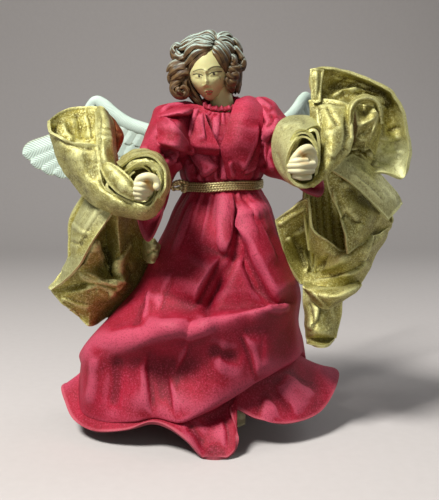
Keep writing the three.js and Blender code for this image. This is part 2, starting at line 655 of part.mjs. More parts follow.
const rightFlare = trimmed(
  funnelSheet(0),
  rightCoilSpace,
  tongue(2 * CLEARANCE),
  sleeveSheet(rightSleeveRings, CLEARANCE),
);

// The tail: the folded cloth inside and the strip laid over its outer side, rows as they are seen
const rightTailRows = [
  [[86, 192, -24], [96, 197, -38], [108, 202, -43], [118, 206, -36], [127, 213, -20]],
  [[70, 219, -19], [90, 225, -30], [106, 226, -18], [118, 230, -28], [131, 236, -8]],
  [[68.5, 243, -17], [94, 243, -34], [107, 250, -10], [120, 252, -24], [134, 256, -4]],
  [[68.5, 262, -17], [86, 262, -30], [109, 272, -10], [119, 272, -20], [135, 274, -1]],
  [[58, 278, -18], [80, 277, -30], [104, 282, -28], [120, 284, -26], [134, 288, 0]],
  [[51, 289, -18], [80, 285, -16], [100, 289, -12], [114, 292, -18], [130, 296, 1]],
  [[57, 297, -18], [78, 294, -20], [97, 296, -25], [112, 300, -14], [124, 301, 0]],
  [[65, 306, -17], [77, 308, -14], [90, 312, -12], [103, 310, -6], [115, 308, 1]],
  [[72, 311, -16], [80, 318, -12], [88, 326, -12], [97, 324, -4], [106, 316, 1]],
];
const rightStripRows = [
  [[90, 184, -28], [98, 188, -40], [110, 202, -47]],
  [[82, 197, -20], [92, 203, -38], [111, 213, -47]],
  [[72, 214, -16], [86, 218, -38], [105, 223, -46]],
  [[69, 230, -14], [79, 234, -36], [96, 237, -44]],
  [[70, 247, -14], [75, 252, -32], [86, 254, -40]],
  [[69, 260, -14], [70, 265, -26], [78, 268, -35]],
  [[60, 275, -14], [60, 280, -21], [65, 280, -27]],
  [[50, 288, -16], [50, 289, -19], [53, 290, -21]],
];
const seenSheet = (rows, across, along, extra = 0) =>
  sheet(ribbedRows(rows.map((row) => row.map(seen)), across, along), SASH_CLOTH + 2 * extra);
const rightTailSheet = (extra) => join(
  seenSheet(rightTailRows, 4, 8, extra),
  seenSheet(rightStripRows, 3, 7, extra),
);
const rightTail = trimmed(
  rightTailSheet(0),
  funnelSheet(2 * CLEARANCE),
  rightCoilSpace,
  sleeveSheet(rightSleeveRings, CLEARANCE),
  skirtFilled(ROBE_CLOTH / 2 + 3 * CLEARANCE),
);

// Sash, left side: a brim that fans out, the leaf that laps in front of it and the rolled heart
const brimRibs = [
  [[72, -26, 196], [62, -38, 203], [53.4, -36, 214], [52.2, -40, 225.9]],
  [[78, -16, 197], [71, -30, 205], [65.3, -26, 217], [61.5, -40, 227]],
  [[82, -13, 196], [79, -28, 205.5], [80.1, -20, 215.6], [79.2, -38, 223.3]],
  [[86, -13, 195], [89, -27, 203], [98, -16, 211.2], [99.2, -38, 214.2]],
  [[87, -13, 192.5], [95, -26, 195], [107.3, -14, 198], [108.4, -38, 198.7]],
  [[87, -13, 190], [94, -26, 186.5], [108.9, -14, 184.6], [112.4, -38, 182.4]],
  [[84, -15, 188], [87, -29, 180.5], [103.4, -18, 173.6], [108.7, -36, 163.1]],
  [[78, -20, 188], [76, -35, 178], [86.8, -26, 171.4], [92.6, -34, 165.6]],
  [[68, -34, 184], [64, -44, 175], [68, -42, 167], [74, -40, 163]],
];
const leafRibs = [
  [[53.6, -35, 213], [53.2, -45, 195], [55.7, -47, 179.5], [57.8, -46, 166]],
  [[62.5, -33, 213], [62.9, -56, 194], [63.2, -58, 180.5], [62.2, -50, 166.1]],
  [[71, -29, 210], [74.6, -50, 194], [72.6, -52, 180.6], [67.3, -44, 166]],
];
const heartRows = count(18).map((i) => {
  const along = i / 17;
  const angle = radians(40) + along * 1.5 * Math.PI * 2;
  const reach = 2.4 + 8 * smooth(along, 0, 0.7);
  return [0, 0.5, 1].map((deep) => new THREE.Vector3(
    85.5 + (reach - 2 * deep) * Math.cos(angle),
    -40 + 20 * deep - 2 * along,
    192.5 + (reach * 1.18 - 2 * deep) * Math.sin(angle),
  ));
});
const fan = (extra) => join(
  sheet(ribbedRows(brimRibs, 4, 15), SASH_CLOTH + 2 * extra),
  sheet(ribbedRows(leafRibs, 4, 4), SASH_CLOTH + 2 * extra),
  sheet(heartRows, SASH_CLOTH + 2 * extra),
);
const leftFlare = trimmed(fan(0), leftCoilSpace, sleeveSheet(leftSleeveRings, CLEARANCE));

// The tail: back wall, lower drape, front panel, band, pouch and flap, rows as they are seen
const leftBackRows = [
  [[304, 184, -16], [316, 180, -4], [332, 176, 2], [350, 172, 0], [372, 178, -8], [396, 190, -21]],
  [[303, 205, -16], [316, 204, -2], [334, 202, 4], [354, 200, 2], [376, 204, -8], [405, 206, -17]],
  [[305, 226, -16], [318, 228, -4], [336, 228, 2], [358, 226, 0], [376, 222, -8], [393, 220, -10]],
  [[308, 250, -14], [322, 252, -6], [340, 252, -2], [358, 248, -4], [374, 240, -6], [386, 230, -8]],
];
const leftDrapeRows = [
  [[275, 220, -16], [280, 240, -14], [287, 262, -14], [300, 284, -16]],
  [[292, 208, -20], [293, 226, -14], [298, 254, -2], [306, 285, -16]],
  [[308, 199, -22], [307, 226, -12], [308, 256, 2], [313, 286, -18]],
  [[312, 228, -24], [311, 250, -14], [314, 268, -8], [321, 287, -22]],
  [[328, 240, -28], [327, 256, -28], [329, 270, -22], [332, 287, -26]],
  [[347, 252, -32], [346, 259, -36], [345, 272, -30], [344, 287, -28]],
  [[368, 240, -28], [365, 250, -32], [360, 264, -28], [352, 285, -26]],
  [[386, 228, -16], [381, 240, -18], [373, 254, -19], [358, 284, -20]],
  [[389, 225, -6], [385, 237, -8], [376, 253, -10], [359, 284, -14]],
];
const leftPanelRows = [
  [[329, 156, -46], [341, 152, -44], [352, 156, -40], [363, 168, -33]],
  [[331, 186, -44], [344, 188, -47], [356, 194, -40], [370, 203, -29]],
  [[337, 208, -47], [350, 208, -48], [364, 210, -41], [382, 215, -27]],
  [[341, 226, -49], [353, 224, -46], [368, 222, -39], [391, 224, -12]],
  [[345, 241, -49], [353, 236, -47], [363, 233, -40], [384, 234, -11]],
  [[348, 254, -48], [350, 252, -47], [353, 249, -45], [358, 245, -41]],
];
const leftBandRows = [
  [[345, 162, -40], [358, 156, -38], [370, 154, -34]],
  [[355, 185, -38], [370, 176, -32], [380, 174, -18]],
  [[366, 198, -38], [381, 190, -31], [392, 190, -16]],
  [[378, 211, -34], [391, 205, -27], [401, 205, -12]],
  [[390, 223, -25], [395, 217, -20], [400, 212, -12]],
];
const leftPouchRows = [
  [[303, 283, -18], [303, 287, -26], [307, 292, -24]],
  [[318, 283, -14], [319, 294, -36], [317, 303, -28]],
  [[334, 282, -12], [336, 295, -42], [328, 307.5, -30]],
  [[349, 280, -12], [353, 290, -39], [342, 301, -28]],
  [[359, 281, -18], [361, 285, -29], [355, 292, -26]],
];
const leftFlapRows = [
  [[303, 284, -16], [315, 285, -19], [329, 285, -25], [344, 284, -27]],
  [[305, 316, -16], [314, 318, -27], [327, 320, -24], [340, 318, -16]],
  [[306, 334, -18], [315, 333, -30], [327, 333, -28], [336, 334, -18]],
  [[307, 339, -18], [316, 339, -22], [327, 340, -21], [335, 338, -18]],
  [[308, 344, -20], [317, 347, -31], [327, 346, -31], [334, 340, -21]],
];
const leftTail = trimmed(
  join(
    seenSheet(leftBackRows, 5, 2),
    seenSheet(leftDrapeRows, 3, 12),
    seenSheet(leftPanelRows, 3, 5),
    seenSheet(leftBandRows, 2, 4),
    seenSheet(leftPouchRows, 2, 5),
    seenSheet(leftFlapRows, 3, 4),
  ),
  fan(2 * CLEARANCE),
  leftFlare,
  leftCoilSpace,
  sleeveSheet(leftSleeveRings, CLEARANCE),
  skirtFilled(ROBE_CLOTH / 2 + 3 * CLEARANCE),
);

// Wings, drawn flat: spanwise outward, upward and thickness to the back
const featherRows = [
  [[66, 14], [129, -8.5], 13, 2.6, 0.6],
  [[66, 12.5], [123, -15], 13, 2.6, 0.4],
  [[64, 11], [113, -20], 14, 2.6, 0.2],
  [[61, 9.5], [102, -23], 14, 2.6, 0],
  [[57, 8], [91, -25.5], 14, 2.6, -0.1],
  [[51, 6], [79, -27], 15, 2.6, -0.2],
  [[44, 4], [66, -28], 16, 2.6, -0.3],
  [[36, 1.5], [52, -27], 17, 2.6, -0.4],
  [[27, -1], [37, -24.5], 17, 2.6, -0.5],
  [[17, -4], [22, -20], 16, 2.6, -0.6],
  [[75, 23], [90, 2], 16, 3.2, -1],
  [[62, 17], [73, -5], 16, 3.2, -1],
  [[48, 10], [56, -9], 16, 3.2, -1],
  [[34, 5], [39, -11], 16, 3.2, -1],
  [[20, 1], [23, -11], 16, 3.2, -1],
];

function feather([root, tip, width, thick, level]) {
  const axis = new THREE.Vector3(tip[0] - root[0], tip[1] - root[1], 0);
  const side = new THREE.Vector3(-axis.y, axis.x, 0).normalize();
  const stations = [[0, 0.6], [0.5, 1], [0.86, 0.85], [1, 0.3]];
  return block(stations.map(([share, wide]) => {
    const centre = new THREE.Vector3(root[0], root[1], level).addScaledVector(axis, share);
    const rise = (thick / 2) * (0.4 + 0.6 * wide);
    return [
      centre.clone().addScaledVector(side, (width / 2) * wide),
      centre.clone().setZ(level + rise),
      centre.clone().addScaledVector(side, (-width / 2) * wide),
      centre.clone().setZ(level - rise),
    ];
  }));
}
const wingArm = limb(
  [[-4, -6, 0], [18, 1, -0.6], [36, 6.5, -1], [51, 11.5, -1], [61, 17.5, -1], [70, 25, -0.6], [76, 26.5, -0.4], [84, 18, 0]],
  [5.4, 4.8, 4.4, 4.2, 4.2, 4, 3.6, 2.2], 6, 10,
);
const wingForm = join(wingArm, ...featherRows.map(feather)).scale(wingScale);

function wing(side, root, sweep, lift) {
  const out = new THREE.Vector3(side * Math.cos(radians(sweep)), Math.sin(radians(sweep)), 0);
  const up = new THREE.Vector3(0, 0, 1);
  const back = new THREE.Vector3(-side * Math.sin(radians(sweep)), Math.cos(radians(sweep)), 0);
  const raise = new THREE.Matrix4().makeRotationZ(radians(lift));
  const stand = new THREE.Matrix4().makeBasis(out, up, back).setPosition(root[0], root[1], root[2]);
  return wingForm.transform(stand.multiply(raise).toArray());
}
const rightWing = trimmed(
  wing(-1, [-10, 24.8, 185.5], RIGHT_WING_SWEEP, 0),
  staple(rightStaplePath, CLEARANCE),
  bodiceFilled(ROBE_CLOTH / 2 + CLEARANCE),
);
const leftWing = trimmed(
  wing(1, [13, 25.4, 187.5], LEFT_WING_SWEEP, LEFT_WING_LIFT),
  staple(leftStaplePath, CLEARANCE),
  bodiceFilled(ROBE_CLOTH / 2 + CLEARANCE),
);

// Every piece with its colour and finish
const CRIMSON = 0xa52a41;
const GOLD = 0x968238;
const CREAM = 0xe0cfa8;
const HAIR = 0x5a4022;
const FEATHER = 0xd7e0cd;
const STEEL = 0x8a8d90;
const STRAW = 0xa08a60;
const pieces = [
  ["torso_core", torsoCore, STRAW, 0.95, 0],
  ["neck_peg", neckPeg(0), STRAW, 0.8, 0],
  ["head", head, CREAM, 0.5, 0],
  ["hair", hair, HAIR, 0.6, 0],
  ["arm_wire_right", armWire(rightArmPath, 0), STEEL, 0.4, 1],
  ["arm_wire_left", armWire(leftArmPath, 0), STEEL, 0.4, 1],
  ["hand_right", rightHand, CREAM, 0.5, 0],
  ["hand_left", leftHand, CREAM, 0.5, 0],
  ["leg_wire_right", legWire(rightLegPath, 0), STEEL, 0.4, 1],
  ["leg_wire_left", legWire(leftLegPath, 0), STEEL, 0.4, 1],
  ["foot_right", rightFoot, CREAM, 0.5, 0],
  ["foot_left", leftFoot, CREAM, 0.5, 0],
  ["wing_staple_right", staple(rightStaplePath, 0), STEEL, 0.4, 1],
  ["wing_staple_left", staple(leftStaplePath, 0), STEEL, 0.4, 1],
  ["wing_right", rightWing, FEATHER, 0.6, 0],
  ["wing_left", leftWing, FEATHER, 0.6, 0],
  ["bodice", bodice, CRIMSON, 0.8, 0],
  ["collar", collar, CRIMSON, 0.8, 0],
  ["sleeve_right", rightSleeve, CRIMSON, 0.8, 0],
  ["sleeve_left", leftSleeve, CRIMSON, 0.8, 0],
  ["skirt", skirt, CRIMSON, 0.8, 0],
  ["belt", belt, GOLD, 0.4, 1],
  ["belt_knot", beltKnot, GOLD, 0.4, 1],
  ["sash_coil_right", rightCoil, GOLD, 0.5, 0.6],
  ["sash_coil_left", leftCoil, GOLD, 0.5, 0.6],
  ["sash_flare_right", rightFlare, GOLD, 0.5, 0.6],
  ["sash_flare_left", leftFlare, GOLD, 0.5, 0.6],
  ["sash_tail_right", rightTail, GOLD, 0.5, 0.6],
  ["sash_tail_left", leftTail, GOLD, 0.5, 0.6],
];

const figure = new THREE.Group();
for (const [name, body, color, roughness, metalness] of pieces) {
  const material = new THREE.MeshStandardMaterial({ color, roughness, metalness });
  const mesh = new THREE.Mesh(surface(body), material);
  mesh.name = name;
  figure.add(mesh);
}

// The origin is under the middle of the figure's box
const box = new THREE.Box3().setFromObject(figure);
const middle = box.getCenter(new THREE.Vector3());
figure.position.set(-middle.x, -middle.y, -box.min.z);

const group = new THREE.Group();
group.add(figure);
export default group;
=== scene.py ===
import math

import bpy
import numpy as np
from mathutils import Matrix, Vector


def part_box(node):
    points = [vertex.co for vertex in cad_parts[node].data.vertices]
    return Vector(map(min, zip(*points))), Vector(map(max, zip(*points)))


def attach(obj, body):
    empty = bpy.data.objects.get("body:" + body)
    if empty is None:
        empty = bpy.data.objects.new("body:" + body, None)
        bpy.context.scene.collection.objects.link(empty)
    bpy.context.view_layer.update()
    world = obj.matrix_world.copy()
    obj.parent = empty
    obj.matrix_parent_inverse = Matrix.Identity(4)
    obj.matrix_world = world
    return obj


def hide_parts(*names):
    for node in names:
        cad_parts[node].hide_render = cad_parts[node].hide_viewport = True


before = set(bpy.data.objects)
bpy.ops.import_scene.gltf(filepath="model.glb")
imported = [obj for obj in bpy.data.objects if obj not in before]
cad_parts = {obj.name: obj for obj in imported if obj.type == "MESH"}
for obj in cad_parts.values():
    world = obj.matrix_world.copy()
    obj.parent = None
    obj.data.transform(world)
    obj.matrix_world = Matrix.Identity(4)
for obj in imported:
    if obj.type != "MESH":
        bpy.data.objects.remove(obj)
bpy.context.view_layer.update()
bpy.ops.object.select_all(action="DESELECT")

# Lengths are in millimetres in the figure's own frame: it faces -Y and stands on its hem at z = 0.
# The waist stands at x = 1.5, y = 0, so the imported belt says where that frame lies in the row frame.
PER_METRE = 1000
WAIST_X = 1.5
belt_low, belt_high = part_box("belt")
FIGURE_ORIGIN = np.array([
    (belt_low.x + belt_high.x) / 2 * PER_METRE - WAIST_X,
    (belt_low.y + belt_high.y) / 2 * PER_METRE,
    0.0,
])

# The camera that the picture was taken with, in millimetres and pixels
PICTURE_WIDTH = 439
PICTURE_HEIGHT = 500
CAMERA_DISTANCE = 500.0
CAMERA_ELEVATION = math.radians(7)
CAMERA_FOCAL = 774.0
LOOK_HEIGHT = 115.7
SENSOR_WIDTH = 36.0
RISE = math.sin(CAMERA_ELEVATION)
LEVEL = math.cos(CAMERA_ELEVATION)
TO_CAMERA = np.array([0.0, -LEVEL, RISE])

# Kinds of fold; thickness of the cloths; how many widths of a fold a step takes to run out
SOFT, SHARP, STEP = "soft", "sharp", "step"
ROBE_THICK = 0.9
SASH_THICK = 0.8
COIL_THICK = 0.6
SKIRT_SLOPE = 5.0
ROBE_SLOPE = 4.0
SASH_SLOPE = 3.0
FULL_TURN = 2 * math.pi
# How steeply a sharp fold and a step fall off, and how far cloth has to face the camera to be folded
SHARP_FALL = 1.3
STEP_STEEPNESS = 8
FACING = (0.02, 0.3)
# Points nearer than this, in metres, are one; cloth is shaded smooth up to this angle
MERGE_DISTANCE = 1e-6
CLOTH_SHADE = 50


# Picture column and row of points
def picture(points):
    depth = CAMERA_DISTANCE + LEVEL * points[..., 1] - RISE * (points[..., 2] - LOOK_HEIGHT)
    up = RISE * points[..., 1] + LEVEL * (points[..., 2] - LOOK_HEIGHT)
    column = PICTURE_WIDTH / 2 + CAMERA_FOCAL * points[..., 0] / depth
    row = PICTURE_HEIGHT / 2 - CAMERA_FOCAL * up / depth
    return column, row


# The point at a depth y that is seen at a column and row
def seen(column, row, y):
    slope = (PICTURE_HEIGHT / 2 - row) / CAMERA_FOCAL
    height = (slope * (CAMERA_DISTANCE + LEVEL * y) - RISE * y) / (LEVEL + RISE * slope)
    depth = CAMERA_DISTANCE + LEVEL * y - RISE * height
    return [(column - PICTURE_WIDTH / 2) * depth / CAMERA_FOCAL, y, height + LOOK_HEIGHT]


def ease(value, low, high):
    share = np.clip((value - low) / (high - low), 0, 1)
    return share * share * (3 - 2 * share)


def unit(vectors):
    return vectors / np.maximum(np.linalg.norm(vectors, axis=-1, keepdims=True), 1e-9)


# Points on a smooth curve through given ones, along the first axis
def through(points, count, closed=False):
    p = np.asarray(points, float)
    n = len(p)
    if closed:
        t = np.arange(count) * n / count
        i = np.floor(t).astype(int)
        a, b, c, d = (p[(i + k) % n] for k in (-1, 0, 1, 2))
    else:
        t = np.linspace(0, n - 1, count)
        i = np.minimum(t.astype(int), n - 2)
        q = np.concatenate([[2 * p[0] - p[1]], p, [2 * p[-1] - p[-2]]])
        a, b, c, d = (q[i + k] for k in (0, 1, 2, 3))
    f = (t - i).reshape((-1,) + (1,) * (p.ndim - 1))
    return 0.5 * (2 * b + (c - a) * f + (2 * a - 5 * b + 4 * c - d) * f**2 + (3 * b - a - 3 * c + d) * f**3)


# A surface through ribs of points: first index across the ribs' own points, second from rib to rib
def loft(ribs, across, along, closed=False):
    lines = np.array([through(rib, across, closed) for rib in ribs])
    return through(lines, along).transpose(1, 0, 2)


# Distance in the picture to a drawn line, the side it lies on and the share of the line passed
def to_line(column, row, line):
    line = np.asarray(line, float)
    lengths = np.linalg.norm(np.diff(line, axis=0), axis=1)
    starts = np.concatenate([[0], np.cumsum(lengths)])
    best = np.full(column.shape, 1e9)
    side = np.zeros(column.shape)
    passed = np.zeros(column.shape)
    for k, length in enumerate(lengths):
        ux, uy = (line[k + 1] - line[k]) / length
        dx, dy = column - line[k][0], row - line[k][1]
        t = np.clip(dx * ux + dy * uy, 0, length)
        away = np.hypot(dx - t * ux, dy - t * uy)
        nearer = away < best
        best = np.where(nearer, away, best)
        side = np.where(nearer, np.sign(ux * dy - uy * dx), side)
        passed = np.where(nearer, (starts[k] + t) / starts[-1], passed)
    return best, side, passed


# How much a line drawn in the picture tells at each place, 1 on it and less away from it
def near_line(column, row, line, width):
    return np.exp(-(to_line(column, row, line)[0] / width) ** 2)


# A smooth irregular field over points, about -1 to 1, with waves of the given size
def ripple(points, size, seed, waves=9):
    source = np.random.RandomState(seed)
    total = np.zeros(points.shape[:-1])
    for _ in range(waves):
        direction = unit(source.normal(size=3)) * FULL_TURN / (size * source.uniform(0.7, 1.6))
        total += np.sin(points @ direction + source.uniform(0, 6.28))
    return total / math.sqrt(waves)


# Distances along a grid's two ways, from its first line and from its start
def runs(p):
    across = np.linalg.norm(np.diff(p, axis=0), axis=-1)
    along = np.linalg.norm(np.diff(p, axis=1), axis=-1)
    from_first = np.concatenate([np.zeros((1, p.shape[1])), np.cumsum(across, 0)])
    from_start = np.concatenate([np.zeros((p.shape[0], 1)), np.cumsum(along, 1)], 1)
    return from_first, from_start


# A sheet of cloth as a grid of points that folds are pressed into
class Cloth:
    def __init__(self, grid, closed=False, slope=SASH_SLOPE):
        self.points = np.array(grid, float)
        self.closed = closed
        self.slope = slope

    def normals(self):
        p = self.points
        if self.closed:
            across = np.roll(p, -1, 0) - np.roll(p, 1, 0)
            outward = p - p.mean(axis=0, keepdims=True)
        else:
            across = np.gradient(p, axis=0)
            outward = TO_CAMERA
        normal = unit(np.cross(across, np.gradient(p, axis=1)))
        return -normal if np.sum(normal * outward) < 0 else normal

    def push(self, height):
        self.points += self.normals() * height[..., None]
        return self

    # A fold along a line drawn in the picture; soft, sharp, or a step that is higher on one side
    def fold(self, line, width, lift, kind, taper):
        away, side, passed = to_line(*picture(self.points), line)
        share = away / width
        if kind == SOFT:
            shape = np.exp(-share**2)
        elif kind == SHARP:
            shape = np.exp(-share * SHARP_FALL)
        else:
            shape = np.exp(-(share / self.slope) ** 2) / (1 + np.exp(-STEP_STEEPNESS * share * side))
        fade = ease(passed, 0, taper) * (1 - ease(passed, 1 - taper, 1))
        facing = ease(self.normals() @ TO_CAMERA, *FACING)
        self.push(lift * shape * fade * facing)

    # Folds in turn: line, width, lift, kind and, where it has its own, the share of the line it fades over
    def press(self, folds, taper=0.2):
        for line, width, lift, kind, *own in folds:
            self.fold(line, width, lift, kind, *(own or [taper]))
        return self

    # Small waves all over
    def crumple(self, size, lift, seed):
        return self.push(lift * ripple(self.points, size, seed))

    # How far each point stands above its surroundings, about -1 in valleys to 1 on ridges
    def relief(self, reach=3):
        p = self.points
        around = np.zeros_like(p)
        for axis in (0, 1):
            for step in (-reach, reach):
                if axis == 0 and self.closed:
                    around += np.roll(p, step, 0)
                else:
                    index = np.clip(np.arange(p.shape[axis]) + step, 0, p.shape[axis] - 1)
                    around += np.take(p, index, axis)
        height = np.sum((p - around / 4) * self.normals(), axis=-1)
        return np.clip(height / (np.std(height) * 2 + 1e-6), -1, 1)


# A sheet through rows of points as they are seen: column, row and depth
def drawn_cloth(rows, across, along, closed=False):
    return Cloth(loft([[seen(*p) for p in row] for row in rows], across, along, closed), closed)


# A stiff crumpled sheet: flat facets between the placed points
def facets(rows, across, along):
    p = np.array([[seen(*point) for point in row] for row in rows])
    s, t = np.linspace(0, p.shape[1] - 1, across), np.linspace(0, p.shape[0] - 1, along)
    i, k = np.minimum(s.astype(int), p.shape[1] - 2), np.minimum(t.astype(int), p.shape[0] - 2)
    a, b = (s - i)[:, None, None], (t - k)[None, :, None]
    corner = [p[np.ix_(k + dk, i + di)].transpose(1, 0, 2) for dk in (0, 1) for di in (0, 1)]
    grid = (corner[0] * (1 - a) + corner[1] * a) * (1 - b) + (corner[2] * (1 - a) + corner[3] * a) * b
    return Cloth(grid)


def metres(points):
    return (np.asarray(points, float) + FIGURE_ORIGIN) / PER_METRE


def select_only(obj):
    bpy.ops.object.select_all(action="DESELECT")
    obj.select_set(True)
    bpy.context.view_layer.objects.active = obj


def point_values(mesh, name, values):
    layer = mesh.attributes.new(name, "FLOAT", "POINT")
    layer.data.foreach_set("value", np.asarray(values, np.float32).ravel())


def finish_modifiers(obj):
    select_only(obj)
    for modifier in list(obj.modifiers):
        bpy.ops.object.modifier_apply(modifier=modifier.name)


def edit_all(obj, operation, **values):
    select_only(obj)
    bpy.ops.object.mode_set(mode="EDIT")
    bpy.ops.mesh.select_all(action="SELECT")
    operation(**values)
    bpy.ops.object.mode_set(mode="OBJECT")


def recalculate(obj):
    edit_all(obj, bpy.ops.mesh.normals_make_consistent, inside=False)


def smooth_shade(obj, degrees):
    select_only(obj)
    bpy.ops.object.shade_smooth_by_angle(angle=math.radians(degrees))


# A plain shape at the origin, whose points are then laid out
def primitive(add, **sizes):
    add(**sizes)
    obj = bpy.context.object
    obj.location = (0, 0, 0)
    return obj


def points_of(obj):
    flat = np.zeros(len(obj.data.vertices) * 3, np.float32)
    obj.data.vertices.foreach_get("co", flat)
    return flat.reshape(-1, 3).astype(float)


def normals_of(obj):
    return np.array([v.normal for v in obj.data.vertices])


def set_points(obj, points):
    obj.data.vertices.foreach_set("co", np.asarray(points, np.float32).ravel())
    obj.data.update()


def place_points(obj, points):
    set_points(obj, metres(points))


def dress(obj, materials, nodes=()):
    obj.data.materials.clear()
    for material in materials:
        obj.data.materials.append(material)
    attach(obj, "root")
    if nodes:
        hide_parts(*nodes)


# Solid pieces: faces outward, shaded smooth up to an angle, then dressed
def solid_piece(obj, degrees, material, node):
    recalculate(obj)
    smooth_shade(obj, degrees)
    dress(obj, [material], [node])


# A grid laid over a cloth's points, given its thickness and, at its rims, a turned hem
def cloth_piece(name, cloth, thick, materials, nodes, hem=None, rim=1.0, pale=0.0):
    blank = np.zeros(cloth.points.shape[:2])
    layers = [cloth.points, cloth.relief(), blank if hem is None else hem, blank + pale]
    if cloth.closed:
        layers = [np.concatenate([layer, layer[:1]]) for layer in layers]
    p, relief_shading, edge, paled = layers
    m, n = p.shape[:2]
    obj = primitive(bpy.ops.mesh.primitive_grid_add, x_subdivisions=m - 1, y_subdivisions=n - 1, size=0.1)
    obj.name = name
    mesh = obj.data
    place_points(obj, p.transpose(1, 0, 2).reshape(-1, 3))
    from_first, v = runs(p)
    u = from_first.mean(1)[:, None] + np.zeros((m, n))
    corner = np.zeros(len(mesh.loops), np.int32)
    mesh.loops.foreach_get("vertex_index", corner)
    flat = np.stack([u.T.ravel(), v.T.ravel()], -1)[corner] / PER_METRE
    mesh.uv_layers[0].data.foreach_set("uv", flat.astype(np.float32).ravel())
    # The relief goes to the materials, which paint highlight on the ridges and shade in the valleys with it
    point_values(mesh, "relief_shading", relief_shading.T)
    point_values(mesh, "edge", edge.T)
    point_values(mesh, "pale", paled.T)
    if rim != 1.0:
        group = obj.vertex_groups.new(name="rim")
        for index, weight in enumerate(edge.T.ravel()):
            if weight > 0:
                group.add([index], float(weight), "ADD")
    edit_all(obj, bpy.ops.mesh.remove_doubles, threshold=MERGE_DISTANCE)
    recalculate(obj)
    if np.sum(np.asarray([f.normal for f in mesh.polygons]) @ TO_CAMERA) < 0 and not cloth.closed:
        edit_all(obj, bpy.ops.mesh.flip_normals)
    wall = obj.modifiers.new("wall", "SOLIDIFY")
    wall.thickness = thick * rim / PER_METRE
    wall.offset = 0
    if rim != 1.0:
        wall.vertex_group = "rim"
        wall.thickness_vertex_group = 1 / rim
    if len(materials) > 1:
        wall.material_offset = 1
    finish_modifiers(obj)
    smooth_shade(obj, CLOTH_SHADE)
    dress(obj, materials, nodes)


# Materials


class Paint:
    """A node material and the few kinds of node it is put together from."""

    def __init__(self, name):
        self.material = bpy.data.materials.new(name)
        self.material.use_nodes = True
        self.tree = self.material.node_tree
        self.shader = self.tree.nodes["Principled BSDF"]
        self.places = self.tree.nodes.new("ShaderNodeTexCoord")

    # Gives a socket a number, a colour, a direction or what another node puts out
    def feed(self, socket, source):
        if isinstance(source, (int, float)):
            socket.default_value = source
        elif isinstance(source, tuple):
            socket.default_value = source if socket.type == "VECTOR" else (*source, 1.0)
        else:
            self.tree.links.new(source, socket)

    def node(self, kind, sockets=None, **settings):
        made = self.tree.nodes.new(kind)
        for key, value in settings.items():
            setattr(made, key, value)
        for key, source in (sockets or {}).items():
            self.feed(made.inputs[key], source)
        return made

    def noise(self, scale, detail=2.0, roughness=0.5, stretch=None):
        where = self.places.outputs["Object"]
        if stretch:
            where = self.node("ShaderNodeMapping", {"Vector": where, "Scale": stretch}).outputs["Vector"]
        sockets = {"Scale": scale, "Detail": detail, "Roughness": roughness, "Vector": where}
        return self.node("ShaderNodeTexNoise", sockets).outputs["Fac"]

    def threads(self, pitch, direction):
        where = self.places.outputs["UV"]
        sockets = {"Scale": 0.314 / pitch, "Distortion": 0.6, "Detail": 1.0, "Vector": where}
        return self.node("ShaderNodeTexWave", sockets, bands_direction=direction).outputs["Fac"]

    def weave(self, pitch):
        return self.math("MULTIPLY", self.threads(pitch, "X"), self.threads(pitch, "Y"))

    def value(self, name):
        return self.node("ShaderNodeAttribute", attribute_name=name).outputs["Fac"]

    def span(self, source, low, high, to_low=0.0, to_high=1.0):
        sockets = {"Value": source, "From Min": low, "From Max": high, "To Min": to_low, "To Max": to_high}
        return self.node("ShaderNodeMapRange", sockets).outputs["Result"]

    def math(self, operation, one, two):
        return self.node("ShaderNodeMath", {0: one, 1: two}, operation=operation).outputs["Value"]

    def mix(self, factor, one, two):
        return self.node("ShaderNodeMix", {0: factor, 6: one, 7: two}, data_type="RGBA").outputs[2]

    # A colour laid over another where a value goes from low to high, up to the given cover
    def over(self, base, colour, source, low, high, cover=1.0):
        return self.mix(self.span(source, low, high, 0.0, cover), base, colour)

    def bump(self, *heights):
        normal = None
        for height, strength, distance in heights:
            sockets = {"Strength": strength, "Distance": distance, "Height": height}
            if normal is not None:
                sockets["Normal"] = normal
            normal = self.node("ShaderNodeBump", sockets).outputs["Normal"]
        self.feed(self.shader.inputs["Normal"], normal)

    def finish(self, **values):
        for key, value in values.items():
            self.feed(self.shader.inputs[key.replace("_", " ")], value)
        return self.material


# Crimson cotton, stiffened: a fine weave, pale flecks, painted highlight on the ridges and painted shade in
# the valleys
def robe_cloth():
    paint = Paint("robe_cloth")
    fleck = paint.noise(1050, 2.0, 0.7)
    patch = paint.noise(55, 3.0)
    relief_shading = paint.value("relief_shading")
    deep = paint.over((0.28, 0.003, 0.017), (0.41, 0.006, 0.032), patch, 0.35, 0.7)
    # Painted highlight on the ridges and painted shade in the valleys
    ridge_highlight = paint.over(deep, (0.69, 0.11, 0.19), relief_shading, 0.05, 0.9, 0.55)
    valley_shade = paint.over(ridge_highlight, (0.10, 0.001, 0.006), relief_shading, -0.05, -0.9, 0.62)
    flecked = paint.over(valley_shade, (0.60, 0.08, 0.15), fleck, 0.52, 0.66, 0.42)
    pitted = paint.over(flecked, (0.13, 0.001, 0.008), fleck, 0.47, 0.33, 0.55)
    rim = paint.math("MULTIPLY", paint.value("edge"), patch)
    paint.bump((paint.weave(0.00055), 0.4, 0.0003), (fleck, 0.5, 0.0004), (patch, 0.3, 0.0006))
    return paint.finish(
        Base_Color=paint.over(pitted, (0.58, 0.13, 0.17), rim, 0.15, 0.55, 0.6),
        Roughness=paint.span(fleck, 0.3, 0.7, 0.5, 0.68), Specular_IOR_Level=0.34,
        Sheen_Weight=0.02, Sheen_Roughness=0.4, Sheen_Tint=(1.0, 0.5, 0.6))
